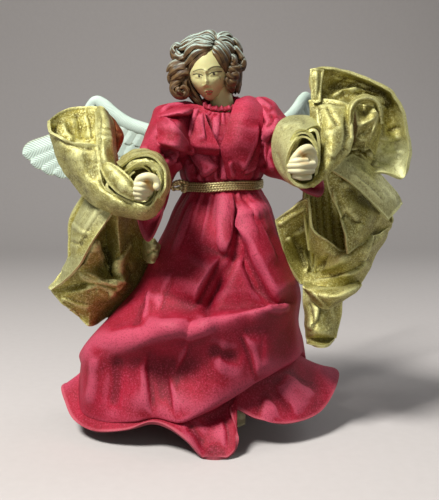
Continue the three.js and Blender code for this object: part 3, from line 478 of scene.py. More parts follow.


# Antique gold cloth: bright speckled threads over a dull olive ground, painted highlight on the ridges and
# painted shade in the valleys, paler on the sheets and places given as pale
def sash_cloth(name, dark, mid, bright):
    paint = Paint(name)
    fleck = paint.noise(950, 3.0, 0.8)
    speck = paint.noise(520, 2.0, 0.7)
    patch = paint.noise(70, 4.0, 0.65)
    relief_shading = paint.value("relief_shading")
    even = paint.mix(0.5, paint.over(dark, mid, patch, 0.38, 0.66), mid)
    # Painted highlight on the ridges and painted shade in the valleys
    relief_lit = paint.over(even, bright, relief_shading, 0.1, 1.0, 0.55)
    valley_shade = paint.over(relief_lit, dark, relief_shading, 0.0, -1.0, 0.8)
    flecked = paint.over(valley_shade, bright, fleck, 0.49, 0.62, 0.7)
    pitted = paint.over(flecked, dark, speck, 0.45, 0.35, 0.5)
    fade = paint.math("MULTIPLY", paint.value("pale"), paint.span(speck, 0.34, 0.52, 0.45, 1.0))
    paled = paint.mix(fade, pitted, (0.66, 0.68, 0.40))
    paint.bump((paint.weave(0.0006), 0.3, 0.0003), (fleck, 0.6, 0.0006), (patch, 0.35, 0.001))
    return paint.finish(
        Base_Color=paint.mix(paint.math("MULTIPLY", paint.value("edge"), 0.45), paled, bright),
        Roughness=paint.span(fleck, 0.3, 0.75, 0.58, 0.42), Specular_IOR_Level=0.5,
        Metallic=paint.span(speck, 0.3, 0.6, 0.4, 0.68))


def braid_cord():
    paint = Paint("gold_braid")
    fleck = paint.noise(1500, 2.0)
    # Painted shade in the grooves between strands and painted highlight on their crests
    relief_lit = paint.over((0.16, 0.11, 0.03), (0.64, 0.54, 0.24), paint.value("relief_shading"), -0.5, 0.8)
    gilt = paint.over(relief_lit, (0.90, 0.83, 0.48), fleck, 0.45, 0.75, 0.6)
    paint.bump((fleck, 0.4, 0.0003))
    return paint.finish(Base_Color=gilt, Metallic=0.55, Roughness=0.36)


# Cream gesso and paint: a warm wash lies in the hollows
def skin_paint(name, low, high):
    paint = Paint(name)
    grain = paint.noise(900, 3.0)
    cloud = paint.noise(120, 2.0)
    base = paint.over(low, high, cloud, 0.35, 0.65)
    washed = paint.over(base, (0.66, 0.30, 0.07), paint.value("hollow"), 0.15, 1.0, 0.85)
    painted = paint.node("ShaderNodeAttribute", attribute_name="painted").outputs
    paint.bump((grain, 0.12, 0.0002), (cloud, 0.15, 0.0004))
    return paint.finish(
        Base_Color=paint.mix(painted["Alpha"], washed, painted["Color"]),
        Roughness=paint.span(grain, 0.3, 0.7, 0.38, 0.55), Specular_IOR_Level=0.45,
        Subsurface_Weight=0.08, Subsurface_Radius=(0.002, 0.001, 0.0005))


# Brown hair with pale gold and mint on the crests, dry-brushing and painted highlight both: the mint lies on
# the crests that face up, high on the head, where light falls
def hair_paint():
    paint = Paint("cast_hair")
    grain = paint.noise(900, 3.0)
    streak = paint.noise(260, 3.0)
    crest = paint.value("crest")
    brown = paint.over((0.032, 0.017, 0.007), (0.135, 0.074, 0.029), streak, 0.35, 0.65)
    gold = paint.over(brown, (0.30, 0.19, 0.07), crest, 0.5, 1.0, 0.5)
    # Painted highlight: the mint is kept to crests that face up, high on the head
    facing = paint.span(paint.value("top_highlight"), 0.2, 0.85)
    brushed_and_highlight = paint.math("MULTIPLY", paint.span(crest, 0.35, 0.85, 0.1, 1.0), facing)
    frost_and_highlight = paint.math("MULTIPLY", brushed_and_highlight, paint.span(grain, 0.30, 0.5, 0.5, 1.0))
    paint.bump((streak, 0.3, 0.0004), (grain, 0.15, 0.0002))
    return paint.finish(Base_Color=paint.mix(frost_and_highlight, gold, (0.48, 0.62, 0.54)), Roughness=0.55,
                        Specular_IOR_Level=0.35)


# Pale mint paint over cast feathers, a little ochre left in the grooves
def wing_paint():
    paint = Paint("cast_wing")
    grain = paint.noise(900, 3.0)
    cloud = paint.noise(70, 3.0)
    barb = paint.math("SINE", paint.math("MULTIPLY", paint.value("barb"), FULL_TURN), 0.0)
    mint = paint.over((0.54, 0.69, 0.60), (0.64, 0.79, 0.70), cloud, 0.35, 0.65)
    aged = paint.over(mint, (0.34, 0.36, 0.20), paint.value("groove"), 0.1, 1.0, 0.75)
    paint.bump((barb, 0.36, 0.0003), (grain, 0.15, 0.0002), (cloud, 0.2, 0.0006))
    return paint.finish(
        Base_Color=paint.over(aged, (0.40, 0.42, 0.26), barb, 0.2, -0.9, 0.3),
        Roughness=paint.span(grain, 0.3, 0.7, 0.45, 0.62), Specular_IOR_Level=0.4)


def wire_steel():
    paint = Paint("armature_wire")
    drawn = paint.noise(500, 2.0, stretch=(1, 1, 0.1))
    rust = paint.noise(90, 4.0, 0.7)
    paint.bump((drawn, 0.2, 0.0002))
    return paint.finish(
        Base_Color=paint.over((0.36, 0.36, 0.37), (0.20, 0.09, 0.04), rust, 0.55, 0.75, 0.7),
        Roughness=paint.span(drawn, 0.3, 0.7, 0.3, 0.5), Metallic=0.9)


# Paper or wood: one grain drawn out along the piece
def grained(name, grain, stretch, low, high, bump, roughness):
    paint = Paint(name)
    field = paint.noise(*grain, stretch=(1, 1, stretch))
    paint.bump((field, *bump))
    return paint.finish(Base_Color=paint.mix(field, low, high), Roughness=roughness)


ROBE = robe_cloth()
GOLD = sash_cloth("sash_cloth", (0.11, 0.08, 0.009), (0.43, 0.37, 0.07), (0.80, 0.79, 0.37))
REVERSE = sash_cloth("sash_reverse", (0.13, 0.075, 0.010), (0.45, 0.30, 0.05), (0.72, 0.58, 0.20))
RUST = sash_cloth("sash_rust", (0.16, 0.03, 0.01), (0.36, 0.08, 0.02), (0.48, 0.20, 0.08))
BRAID = braid_cord()
FACE = skin_paint("face_paint", (0.62, 0.59, 0.27), (0.68, 0.65, 0.31))
SKIN = skin_paint("cast_skin", (0.74, 0.68, 0.37), (0.82, 0.77, 0.50))
HAIR = hair_paint()
WING = wing_paint()
WIRE = wire_steel()
PAPER = grained("core_paper", (60, 4.0, 0.6), 6, (0.38, 0.29, 0.17), (0.60, 0.50, 0.33), (0.4, 0.001), 0.95)
WOOD = grained("peg_wood", (300, 4.0, 0.6), 0.08, (0.30, 0.17, 0.07), (0.58, 0.40, 0.20), (0.3, 0.0003),
               0.7)

# The solids that stay as they are only get their materials
INNER_PIECES = {
    "torso_core": PAPER, "neck_peg": WOOD, "arm_wire_right": WIRE, "arm_wire_left": WIRE,
    "leg_wire_right": WIRE, "leg_wire_left": WIRE, "wing_staple_right": WIRE, "wing_staple_left": WIRE,
}
for node, material in INNER_PIECES.items():
    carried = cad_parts[node]
    carried.data.materials.clear()
    carried.data.materials.append(material)


# The robe

# Skirt: rays from the figure's right side round the front to its left, then round the back.
# Each ray has its turn in degrees from the front and its places down the cloth as they are seen:
# the ridge that hangs over, the hollow under it, the lower edge of the drape, how far the cloth goes in
# below that edge, and the hem.
SKIRT_FRONT = [
    (-92, (85, 346, 4), (83, 357, 4), (82, 368, 3), 2, (63.5, 386, 2)),
    (-76, (86, 346, -15), (82, 372, -15), (80, 398, -14), 2, (66, 404, -14)),
    (-62, (92, 345, -28), (86, 378, -28), (84, 411, -27), 2, (75, 421, -27)),
    (-47, (112, 344, -42), (107, 372, -38), (104, 417, -38), 2, (96, 431.5, -39)),
    (-32, (138, 341, -54), (136, 366, -40), (132, 417, -47), 2, (126, 430, -47)),
    (-22, (160, 333, -60), (157, 364, -42), (154, 414, -49), 4, (150, 423, -50)),
    (-13, (175, 331, -62), (176, 366, -42), (178, 419, -55), 6, (167, 427, -55)),
    (-6, (188, 332, -59), (190, 366, -47), (197, 412, -57), 9, (186, 441, -60)),
    (2, (203, 327, -62.5), (206, 362, -54), (212, 405, -57), 13, (205, 460, -62.5)),
    (9, (217, 322, -61.5), (220, 354, -57), (226, 397, -55), 15, (220, 461, -63.5)),
    (16, (232, 318, -59), (234, 346, -56), (238, 390, -53), 14, (235, 450, -61)),
    (23, (247, 314, -55), (247, 343, -51.5), (247, 385, -51), 10, (236, 430, -55)),
    (31, (260, 311, -54), (258, 341, -47), (256, 380, -48), 8, (231, 408, -46)),
    (42, (272, 308, -49), (267, 336, -45), (268, 373, -43), 10, (257, 419, -46)),
    (54, (281, 308, -40), (280, 333, -37), (282, 365, -34), 11, (289, 423.5, -42)),
    (70, (293, 313, -24), (295, 335, -22), (297, 356, -19), 10, (322, 410, -24)),
    (90, (298, 320, 0), (301, 337, 0), (302, 351, 0), 7, (338, 374, 2)),
]
# Round the back: turn, drape edge reach and height, hem reach and height, from the hem's own centre
HEM_CENTRE = (-12, -2)
SKIRT_BACK = [
    (108, 74, 36, 82, 30), (124, 68, 22, 76, 10), (143, 66, 14, 76, 0.5), (162, 58, 15, 65, 3),
    (180, 56, 16, 62, 3), (-162, 60, 16, 68, 2), (-147, 66, 15, 74, 0.5), (-128, 66, 16, 72, 3),
    (-108, 74, 28, 86, 16),
]
# Rings above: height, centre, half width and half depth
SKIRT_RINGS = [
    (157, 1.5, 24, 18), (153.6, 1.5, 24.2, 18.2), (149, 1.4, 26.6, 20.2), (141, 1, 31, 24),
    (130, 0.8, 35.6, 28.6), (119, 0.5, 40.5, 33), (108, 0, 45, 37.6), (97, -0.5, 50, 42),
    (86, -3, 55.5, 46.5),
]
HEM_ROLL = 2.4
SKIRT_AROUND = 300
SKIRT_DOWN = 150
# The waist slopes sideways; the skirt takes that up over its top rings
WAIST_SLOPE = 0.039
TILT_FROM = 120
TILT_RISE = 37
# The ring round the back at the height of the ridge: centre, half width, half depth and height
BACK_RIDGE = (-13, 66, 52, 63.0)
# Folds drawn in the picture: line, width, lift, kind and the share it fades over
SKIRT_FOLDS = (
    # The tongue pleat under the belt, the valley beside it and the crease that runs down to the left
    ([(221, 257), (219.6, 225), (219.4, 191)], 2.8, 3.2, STEP, 0.12),
    ([(232, 191), (233, 212), (231, 236), (224.5, 257)], 3, 3, STEP, 0.2),
    ([(237, 204), (240, 228), (236, 255), (226, 280)], 5, -3.6, SOFT, 0.35),
    ([(222, 254), (212, 274), (201, 294), (193, 310)], 5, 8.2, STEP, 0.36),
    ([(229, 262), (219, 284), (209, 303), (199, 320)], 6.5, -6.8, SOFT, 0.36),
    # The long crease to the sharp point at the right
    ([(277.5, 309), (265, 288), (250, 258), (241, 230), (234, 200)], 4.4, 7.4, STEP, 0.16),
    ([(240, 240), (246, 264), (256, 286), (268, 304)], 4.4, -4.6, SOFT, 0.3),
    ([(290, 306), (278, 310), (264, 307)], 3, 1.8, SOFT, 0.25),
    ([(257, 380), (250, 354), (241, 332)], 4.4, 3.6, STEP, 0.3),
    # Puckers under the belt at the right and drag lines from the waist
    ([(256, 222), (250, 208), (243, 194)], 2.8, 1.3, STEP, 0.3),
    ([(266, 240), (258, 220), (250, 200)], 2.8, 1.3, STEP, 0.3),
    ([(199, 250), (206, 216), (210, 193)], 2.8, 1.2, STEP, 0.3),
    ([(200, 194), (190, 222), (176, 258)], 2.8, 1.3, STEP, 0.3),
    ([(168, 262), (181, 226), (193, 196)], 2.8, 1.2, STEP, 0.3),
    ([(256, 212), (268, 240), (280, 268)], 2.8, 1.4, STEP, 0.3),
    ([(176, 268), (164, 296), (158, 318)], 2.8, 1.2, STEP, 0.3),
    # The round ridge over the hollow, its V and the folds below
    ([(222, 321), (214, 323), (204, 327), (190, 331), (176, 328), (158, 328), (138, 333),
      (112, 340), (92, 343)], 7, 2.6, SOFT, 0.15),
    ([(178, 329), (190, 334), (202, 329), (216, 321)], 5, 1.2, SOFT, 0.4),
    ([(147, 346), (147, 372), (149, 396), (152, 416)], 3.8, 3.4, STEP, 0.28),
    ([(175, 416), (173, 396), (168, 374)], 3.6, 2.4, STEP, 0.3),
    ([(160, 350), (162, 380), (163, 410)], 7, -1.6, SOFT, 0.35),
    ([(190, 340), (182, 362), (176, 384)], 4, 2.8, STEP, 0.35),
    ([(226, 336), (220, 356), (224, 380)], 5, 1.4, SOFT, 0.35),
    ([(140, 326), (146, 308), (150, 288)], 4, 2.4, STEP, 0.25),
    ([(96, 352), (94, 380), (90, 408)], 5, 1.8, SOFT, 0.25),
    ([(118, 352), (116, 384), (112, 412)], 6, -1.6, SOFT, 0.25),
    ([(206, 346), (224, 356), (244, 360)], 6, -3, SOFT, 0.3),
    ([(284, 372), (300, 386), (318, 394)], 4, 2, STEP, 0.25),
    ([(296, 418), (287, 402), (274, 386)], 4, 2, STEP, 0.25),
    ([(262, 400), (272, 404), (280, 418)], 3.6, 1.8, STEP, 0.25),
    ([(186, 424), (196, 434), (206, 448)], 4, -2, SOFT, 0.25),
    ([(222, 418), (226, 434), (226, 450)], 4, 2, STEP, 0.25),
)


# The turn of each point about the waist, from the front
def turns_of(cloth):
    return np.arctan2(cloth.points[..., 0] - WAIST_X, -cloth.points[..., 1])


def skirt_ray(turn, lower):
    angle = math.radians(turn)
    upper = []
    for z, x, wide, deep in SKIRT_RINGS:
        out = wide * math.sin(angle)
        tilt = WAIST_SLOPE * max(z - TILT_FROM, 0) / TILT_RISE
        upper.append([x + out, -deep * math.cos(angle), z + tilt * out])
    return upper + lower


def skirt_cloth():
    rays = []
    for turn, ridge, hollow, edge, recess, hem in SKIRT_FRONT:
        edge_at, hem_at = np.array(seen(*edge)), np.array(seen(*hem))
        inner = edge_at + (hem_at - edge_at) * 0.3
        inner[:2] *= 1 - recess / max(np.hypot(*inner[:2]), 1)
        rays.append(skirt_ray(turn, [seen(*ridge), seen(*hollow), edge_at, inner, hem_at]))
    for turn, reach, height, hem_reach, hem_height in SKIRT_BACK:
        angle = math.radians(turn)
        way = np.array([math.sin(angle), -math.cos(angle)])
        ring = np.array([BACK_RIDGE[0] + BACK_RIDGE[1] * way[0], BACK_RIDGE[2] * way[1], BACK_RIDGE[3]])
        lower = np.append(HEM_CENTRE + reach * way, height)
        hem_at = np.append(HEM_CENTRE + hem_reach * way, hem_height)
        mid = (ring + lower) / 2 + np.append(way * 1.5, 0)
        inner = lower + (hem_at - lower) * 0.35 - np.append(way * 3, 0)
        rays.append(skirt_ray(turn, [ring, mid, lower, inner, hem_at]))
    rings = np.array(rays).transpose(1, 0, 2)
    cloth = Cloth(loft(rings, SKIRT_AROUND, SKIRT_DOWN, True), True, SKIRT_SLOPE)
    down = np.linspace(0, 1, SKIRT_DOWN)[None, :]
    turn = turns_of(cloth)
    gather = np.sin(turn * 23 + 2 * np.sin(turn * 3)) * 0.5 + np.sin(turn * 37 + 1) * 0.3
    gathered = gather * ease(down, 0.03, 0.1) * (1 - ease(down, 0.12, 0.4))
    back = ease(-np.cos(turn), -0.1, 0.5)
    flutes = np.sin(turn * 9 + 0.6) * 2.2 * ease(down, 0.1, 0.5) * (1 - ease(down, 0.7, 0.9)) * back
    cloth.push(gathered + flutes).press(SKIRT_FOLDS).crumple(34, 0.3, 3)
    cloth.points[..., 2] = np.maximum(cloth.points[..., 2], ROBE_THICK * HEM_ROLL / 2)
    return cloth


def robe_piece(name, cloth, nodes=(), hem=None, rim=1.0):
    cloth_piece(name, cloth, ROBE_THICK, [ROBE], nodes, hem, rim)


skirt = skirt_cloth()
run_down = runs(skirt.points)[1]
robe_piece("skirt_drape", skirt, ["skirt"], 1 - ease(run_down[:, -1:] - run_down, 1.0, 2.8), HEM_ROLL)

# Bodice: height, half width, half depth and forward shift of each ring
BODICE_RINGS = [
    (157.6, 24, 18, 0), (160.6, 24, 18, 0), (164, 25.6, 19.4, -0.2), (170, 26.8, 20.2, -0.4),
    (179, 27.8, 20.8, -0.6), (189, 28, 19.8, -0.4), (197.5, 26, 17, 0), (203, 21, 13.6, 0),
    (206, 15, 11.6, 0), (207, 11.6, 10.4, 0),
]
BODICE_AROUND = 220
BODICE_UP = 90
NECK_SLOPE = 0.42
BODICE_FOLDS = (
    ([(225, 150), (224, 165), (224, 180)], 3.4, 2, SOFT, 0.1),
    ([(218.6, 150), (218.6, 165), (219, 180)], 1.6, -2.4, SHARP, 0.1),
    ([(230, 150), (229.4, 165), (228.6, 180)], 1.6, -2, SHARP, 0.1),
    ([(199, 150), (208, 157), (217.5, 168)], 3, 2.6, STEP, 0.15),
    ([(205, 178), (196, 162), (188, 148)], 3.4, 2.4, STEP, 0.15),
    ([(186, 150), (192, 162), (197, 178)], 3.4, -2.2, SOFT, 0.2),
    ([(200, 108), (196, 120), (194, 136)], 2.2, 1.7, STEP, 0.25),
    ([(196, 140), (201, 124), (205, 111)], 2.2, 1.5, STEP, 0.25),
    ([(207, 112), (206, 126), (207, 144)], 2.2, 1.3, STEP, 0.25),
    ([(213, 144), (214, 128), (213, 114)], 2.2, 1.2, STEP, 0.25),
    ([(219, 114), (219, 126), (217, 140)], 2.2, 1.2, STEP, 0.25),
    ([(191, 128), (193, 116), (197, 107)], 2.2, 1.5, STEP, 0.25),
)


def bodice_cloth():
    turns = np.arange(26) / 26 * FULL_TURN
    rings = []
    for k, (z, wide, deep, forward) in enumerate(BODICE_RINGS):
        lift = k / (len(BODICE_RINGS) - 1)
        x = wide * np.sin(turns)
        y = forward - deep * np.cos(turns)
        height = z + WAIST_SLOPE * x * (1 - lift) + NECK_SLOPE * y * ease(lift, 0.5, 0.9)
        rings.append(np.stack([WAIST_X + x, y, height], -1))
    cloth = Cloth(loft(rings, BODICE_AROUND, BODICE_UP, True), True, ROBE_SLOPE)
    up = np.linspace(0, 1, BODICE_UP)[None, :]
    turn = turns_of(cloth)
    gather = np.sin(turn * 21 + 2 * np.sin(turn * 2)) * 0.4 + np.sin(turn * 34) * 0.25
    at_waist = ease(up, 0.08, 0.16) * (1 - ease(up, 0.2, 0.42))
    at_neck = ease(up, 0.62, 0.8) * (1 - ease(up, 0.9, 1))
    return cloth.push(gather * (at_waist + 0.9 * at_neck)).press(BODICE_FOLDS).crumple(20, 0.2, 11)


robe_piece("bodice_cloth", bodice_cloth(), ["bodice"])

# Sleeves: rings from the shoulder to the open bell, eight points each
RIGHT_SLEEVE = [
    [(-18.6, 0, 208.6), (-14.4, -15, 201), (-14.9, -19, 188.7), (-16.4, -14, 179.7),
     (-17.5, 0, 174.7), (-19.2, 12, 179.8), (-20.6, 15, 191.5), (-20.3, 10, 202.9)],
    [(-36.4, -5, 207.2), (-30.6, -24, 200.4), (-27.3, -29, 185.5), (-26.5, -22, 170.6),
     (-28.5, -8, 165), (-35.1, 8, 171.2), (-39.2, 9, 186.3), (-39.6, 4, 203.4)],
    [(-40.4, -15, 199.4), (-36.3, -35, 191.3), (-32.9, -42, 176.6), (-30.4, -36, 159),
     (-34, -22, 145.6), (-39.5, -8, 154.7), (-42.6, -4, 176.6), (-43.4, -4, 195.3)],
    [(-43.2, -48, 179), (-40.6, -52, 174), (-35.3, -52, 162.4), (-34.1, -44, 141.8),
     (-43, -34, 125.3), (-49.5, -28, 136.9), (-50.2, -30, 161.5), (-48.6, -40, 174)],
]
LEFT_SLEEVE = [
    [(23, 0, 212.3), (18.7, -15, 202.8), (18.6, -19, 188.7), (20.1, -14, 176.6),
     (22, 0, 172.2), (23.8, 12, 178.6), (25.1, 15, 192.8), (24.8, 10, 205.4)],
    [(32.9, -4, 208.9), (30.5, -22, 198.8), (29.1, -28, 185.5), (28.2, -20, 170.5),
     (29.1, -6, 164.5), (34, 8, 170.2), (36.6, 10, 186.3), (36.2, 6, 202)],
    [(37, -16, 200.3), (34.5, -34, 192.4), (35.2, -42, 179.5), (35.8, -36, 167.8),
     (39.4, -22, 161.5), (45.5, -8, 164.1), (47, -4, 179.7), (44.1, -6, 195.9)],
    [(40.3, -36, 192.4), (38.5, -44, 187.5), (40.4, -50, 173.8), (45.5, -46, 159.9),
     (58.5, -36, 151.8), (63.3, -26, 158), (57.5, -22, 173.6), (48.4, -26, 186.8)],
]
SLEEVE_AROUND = 150
SLEEVE_ALONG = 90


# The sleeve's head is drawn in towards the body, so that it closes on the bodice
def sleeve(side, rings, inward, seed, folds):
    first = np.array(rings[0], float)
    centre = first.mean(0)
    head = centre + 0.7 * (first - centre) + np.array([inward, 0, 0])
    grid = loft(np.concatenate([[head], rings]), SLEEVE_AROUND, SLEEVE_ALONG, True)
    cloth = Cloth(grid, True, ROBE_SLOPE).crumple(20, 0.35, seed).press(folds)
    edge = np.tile(ease(np.linspace(0, 1, SLEEVE_ALONG), 0.95, 0.99), (SLEEVE_AROUND, 1))
    robe_piece(f"sleeve_{side}_cloth", cloth, [f"sleeve_{side}"], edge, 1.4)


sleeve("right", RIGHT_SLEEVE, 6, 21, (
    ([(159, 113), (170, 107), (185, 104.5), (196, 106)], 2, 1.6, SOFT),
    ([(164, 115), (174, 126), (184, 140), (192, 153)], 4, 4.4, STEP),
    ([(178, 122), (188, 136), (195, 147)], 3, -3.4, SOFT),
    ([(156.7, 143.8), (166.5, 143.5), (172.5, 146.7), (174, 153.5), (169, 160)], 2.2, 3.4, SOFT),
    ([(160, 150), (167, 153), (168, 160)], 2.4, -2.9, SOFT),
    ([(174, 154), (179, 166), (183, 180)], 3.6, 3.4, STEP),
    ([(188, 160), (184, 172), (180, 186)], 3.2, -2.9, SOFT),
    ([(160, 124), (162, 134), (160, 142)], 3, -1.8, SOFT),
    ([(164, 206), (161, 220), (152, 236)], 3, 2.3, STEP),
    ([(150, 214), (147, 226), (148, 240)], 2.6, -2.1, SOFT),
))
sleeve("left", LEFT_SLEEVE, -6, 25, (
    ([(263, 138), (267.5, 124), (261, 112), (252, 101)], 3.6, 2.4, STEP),
    ([(258, 114), (261, 132), (259, 150)], 3.4, -2, SOFT),
    ([(278, 118), (270, 131), (264, 142)], 2.6, 1.8, SOFT),
    ([(272, 112), (272, 122), (266, 132)], 2.8, -1.4, SOFT),
    ([(277, 126), (270, 138), (267, 152), (268, 168)], 3, 1.9, STEP),
    ([(262, 142), (262, 156), (266, 170)], 3, -1.6, SOFT),
    ([(274, 146), (271, 158), (274, 172)], 2.6, 1.8, SOFT),
    ([(256, 98), (264, 104), (272, 110)], 2, 1.3, SOFT),
))


# Panels of the bodice that lie over its front: the one drawn down from the left shoulder to the middle,
# the loose fold that hangs over at the right and the fold of the sleeve's cap
def robe_panel(name, rows, across, along, folds, seed):
    panel = drawn_cloth(rows, across, along)
    panel.slope = ROBE_SLOPE
    robe_piece(name, panel.press(folds).crumple(22, 0.2, seed))


robe_panel("bodice_panel_left", [
    [(238, 104, 9), (249, 103, 12), (260, 108, 11)],
    [(237, 100, -2), (249, 96.5, 0), (262, 102, 2)],
    [(235, 103, -16), (248, 100, -17), (263, 106, -14)],
    [(231, 114, -25), (246, 112, -27), (263, 118, -22)],
    [(228, 125, -28), (243, 126, -31), (262, 132, -24)],
    [(224, 138, -29), (240, 140, -32), (260, 148, -24)],
    [(220.5, 149, -29), (236, 152, -30), (257, 160, -22)],
    [(224, 164, -25), (238, 166, -25.5), (253, 170, -20)],
    [(226, 178, -20), (238, 179, -20.5), (250, 179, -17)],
], 50, 90, [
    ([(259, 122), (256, 142), (248, 160), (240, 174)], 3, 2.2, STEP),
    ([(266, 164), (256, 167), (243, 174)], 2.4, 2, STEP),
    ([(230, 160), (232, 170), (234, 178)], 2, 1.4, SOFT),
], 14)
robe_panel("bodice_panel_right", [
    [(184, 106, -12), (194, 104.5, -15), (204, 107, -18)],
    [(184, 118, -20), (195, 117, -23), (206, 118, -24)],
    [(186, 132, -25), (199, 132, -28), (213, 134, -27)],
    [(187, 143, -28), (202, 145, -31), (219, 147, -30)],
    [(187, 147, -26), (202, 150, -29), (219.5, 151, -28)],
    [(189, 151, -22), (203, 154, -24), (219, 155, -23)],
], 50, 60, [
    ([(200, 108), (194, 122), (190, 138)], 2, 1.8, STEP),
    ([(203, 112), (203, 126), (206, 142)], 2, 1.4, STEP),
    ([(190, 112), (188, 124), (187, 136)], 2, -1.4, SOFT),
], 16)
robe_panel("sleeve_cap_right", [
    [(160, 111.6, 2), (170, 108, 3), (180, 106, 3), (190, 105.2, 3), (196, 106, 2)],
    [(158, 112.5, -10), (168, 109, -13), (180, 106.5, -14), (190, 105.5, -13), (197, 106, -14)],
    [(158, 116, -26), (168, 114, -31), (178, 112.6, -34), (185, 112.4, -33), (192, 112, -22)],
    [(158, 119, -29), (168, 119, -31), (176, 118, -29), (184, 117, -25), (192, 118, -20)],
    [(157.8, 128, -36), (167, 127, -42), (177, 126, -42), (184, 130, -30), (192, 131, -23)],
    [(157.8, 136, -40), (167, 136, -46), (178, 137, -45), (186, 141, -32), (193, 142, -26)],
    [(157.8, 142.5, -43), (166, 143.5, -49), (177, 146.5, -49), (188, 151, -34), (194, 152, -29)],
    [(159.5, 146.5, -38), (167, 147.5, -44), (177, 150, -44), (187, 154, -31), (193, 155, -26)],
], 80, 90, [
    ([(162, 115), (174, 125), (184, 139), (190, 150)], 2.4, 1.6, STEP),
], 18)


# The sash

ALL_RIMS = ("first", "last", "start", "end")


# How near each point of a sheet is to the rims that are turned under
def turned_rims(cloth, reach, rims):
    from_first, from_start = runs(cloth.points)
    gaps = {
        "first": from_first, "last": from_first[-1:] - from_first,
        "start": from_start, "end": from_start[:, -1:] - from_start,
    }
    near = np.minimum.reduce([gaps[rim] for rim in rims])
    return 1 - ease(near, 0.4 * reach, reach)


# One sheet: how pale it is, the solids it stands for, its folds and small waves, and its turned rims
def sash(name, cloth, pale=0.0, nodes=(), folds=(), waves=(), taper=0.2, rims=ALL_RIMS, reach=1.6, rim=2.0,
         thick=SASH_THICK, faces=(GOLD, REVERSE)):
    cloth.press(folds, taper)
    for size, lift, seed in waves:
        cloth.crumple(size, lift, seed)
    paled = pale(*picture(cloth.points)) if callable(pale) else pale
    edge = turned_rims(cloth, reach, rims)
    cloth_piece(name, cloth, thick, faces, nodes, edge, rim, paled)


COIL_STEPS = 90
COIL_ROWS = 22
COIL_DEPTH = 20


# A strip rolled round the wrist; each turn is wider than the last and opens to the back
def coil_cloth(centre, inner, outer, start, sense, turns, seed):
    along = np.linspace(0, 1, int(turns * COIL_STEPS))[:, None]
    deep = np.linspace(0, 1, COIL_ROWS)[None, :]
    angle = math.radians(start) + sense * along * turns * FULL_TURN + 0 * deep
    swell = along**0.75
    wide, tall = (inner[k] + (outer[k] - inner[k]) * swell + 2.4 * deep**0.8 for k in (0, 1))
    grid = np.stack([
        centre[0] + wide * np.cos(angle),
        centre[1] + 5.0 * along + COIL_DEPTH * deep + 0.8 * np.sin(angle * 2.3 + seed),
        centre[2] + tall * np.sin(angle),
    ], -1)
    sway = ripple(grid, 14, seed) * 0.3 + ripple(grid, 5, seed + 1) * 0.14
    radial = np.stack([np.cos(angle), 0 * angle, np.sin(angle)], -1)
    return Cloth(grid + radial * sway[..., None])


sash("coil_right_cloth", coil_cloth((-43.6, -70, 160.4), (6.2, 8.0), (9.6, 12.4), 117, 1, 2.3, 31), 0.1,
     ["sash_coil_right"], rims=["start"], reach=1.4, rim=1.7, thick=COIL_THICK)
sash("tongue_right_cloth", drawn_cloth([
    [(99, 160.5, -55), (100, 162.5, -56), (101, 165.5, -56)],
    [(112, 164.5, -62), (108.5, 170, -65), (105, 177, -63)],
    [(123, 171.5, -67), (119.5, 181, -71), (114, 189, -68)],
    [(132.5, 181, -70), (130, 189, -74), (126, 197, -71)],
    [(137.5, 189, -70), (137, 194, -72), (135, 200, -70)],
], 24, 60), 0.1, folds=[
    ([(106, 164), (118, 174), (131, 187)], 3, 0.7, SOFT),
    ([(110, 172), (118, 182), (127, 192)], 4, 0.6, SOFT),
], waves=[(9, 0.25, 41)])

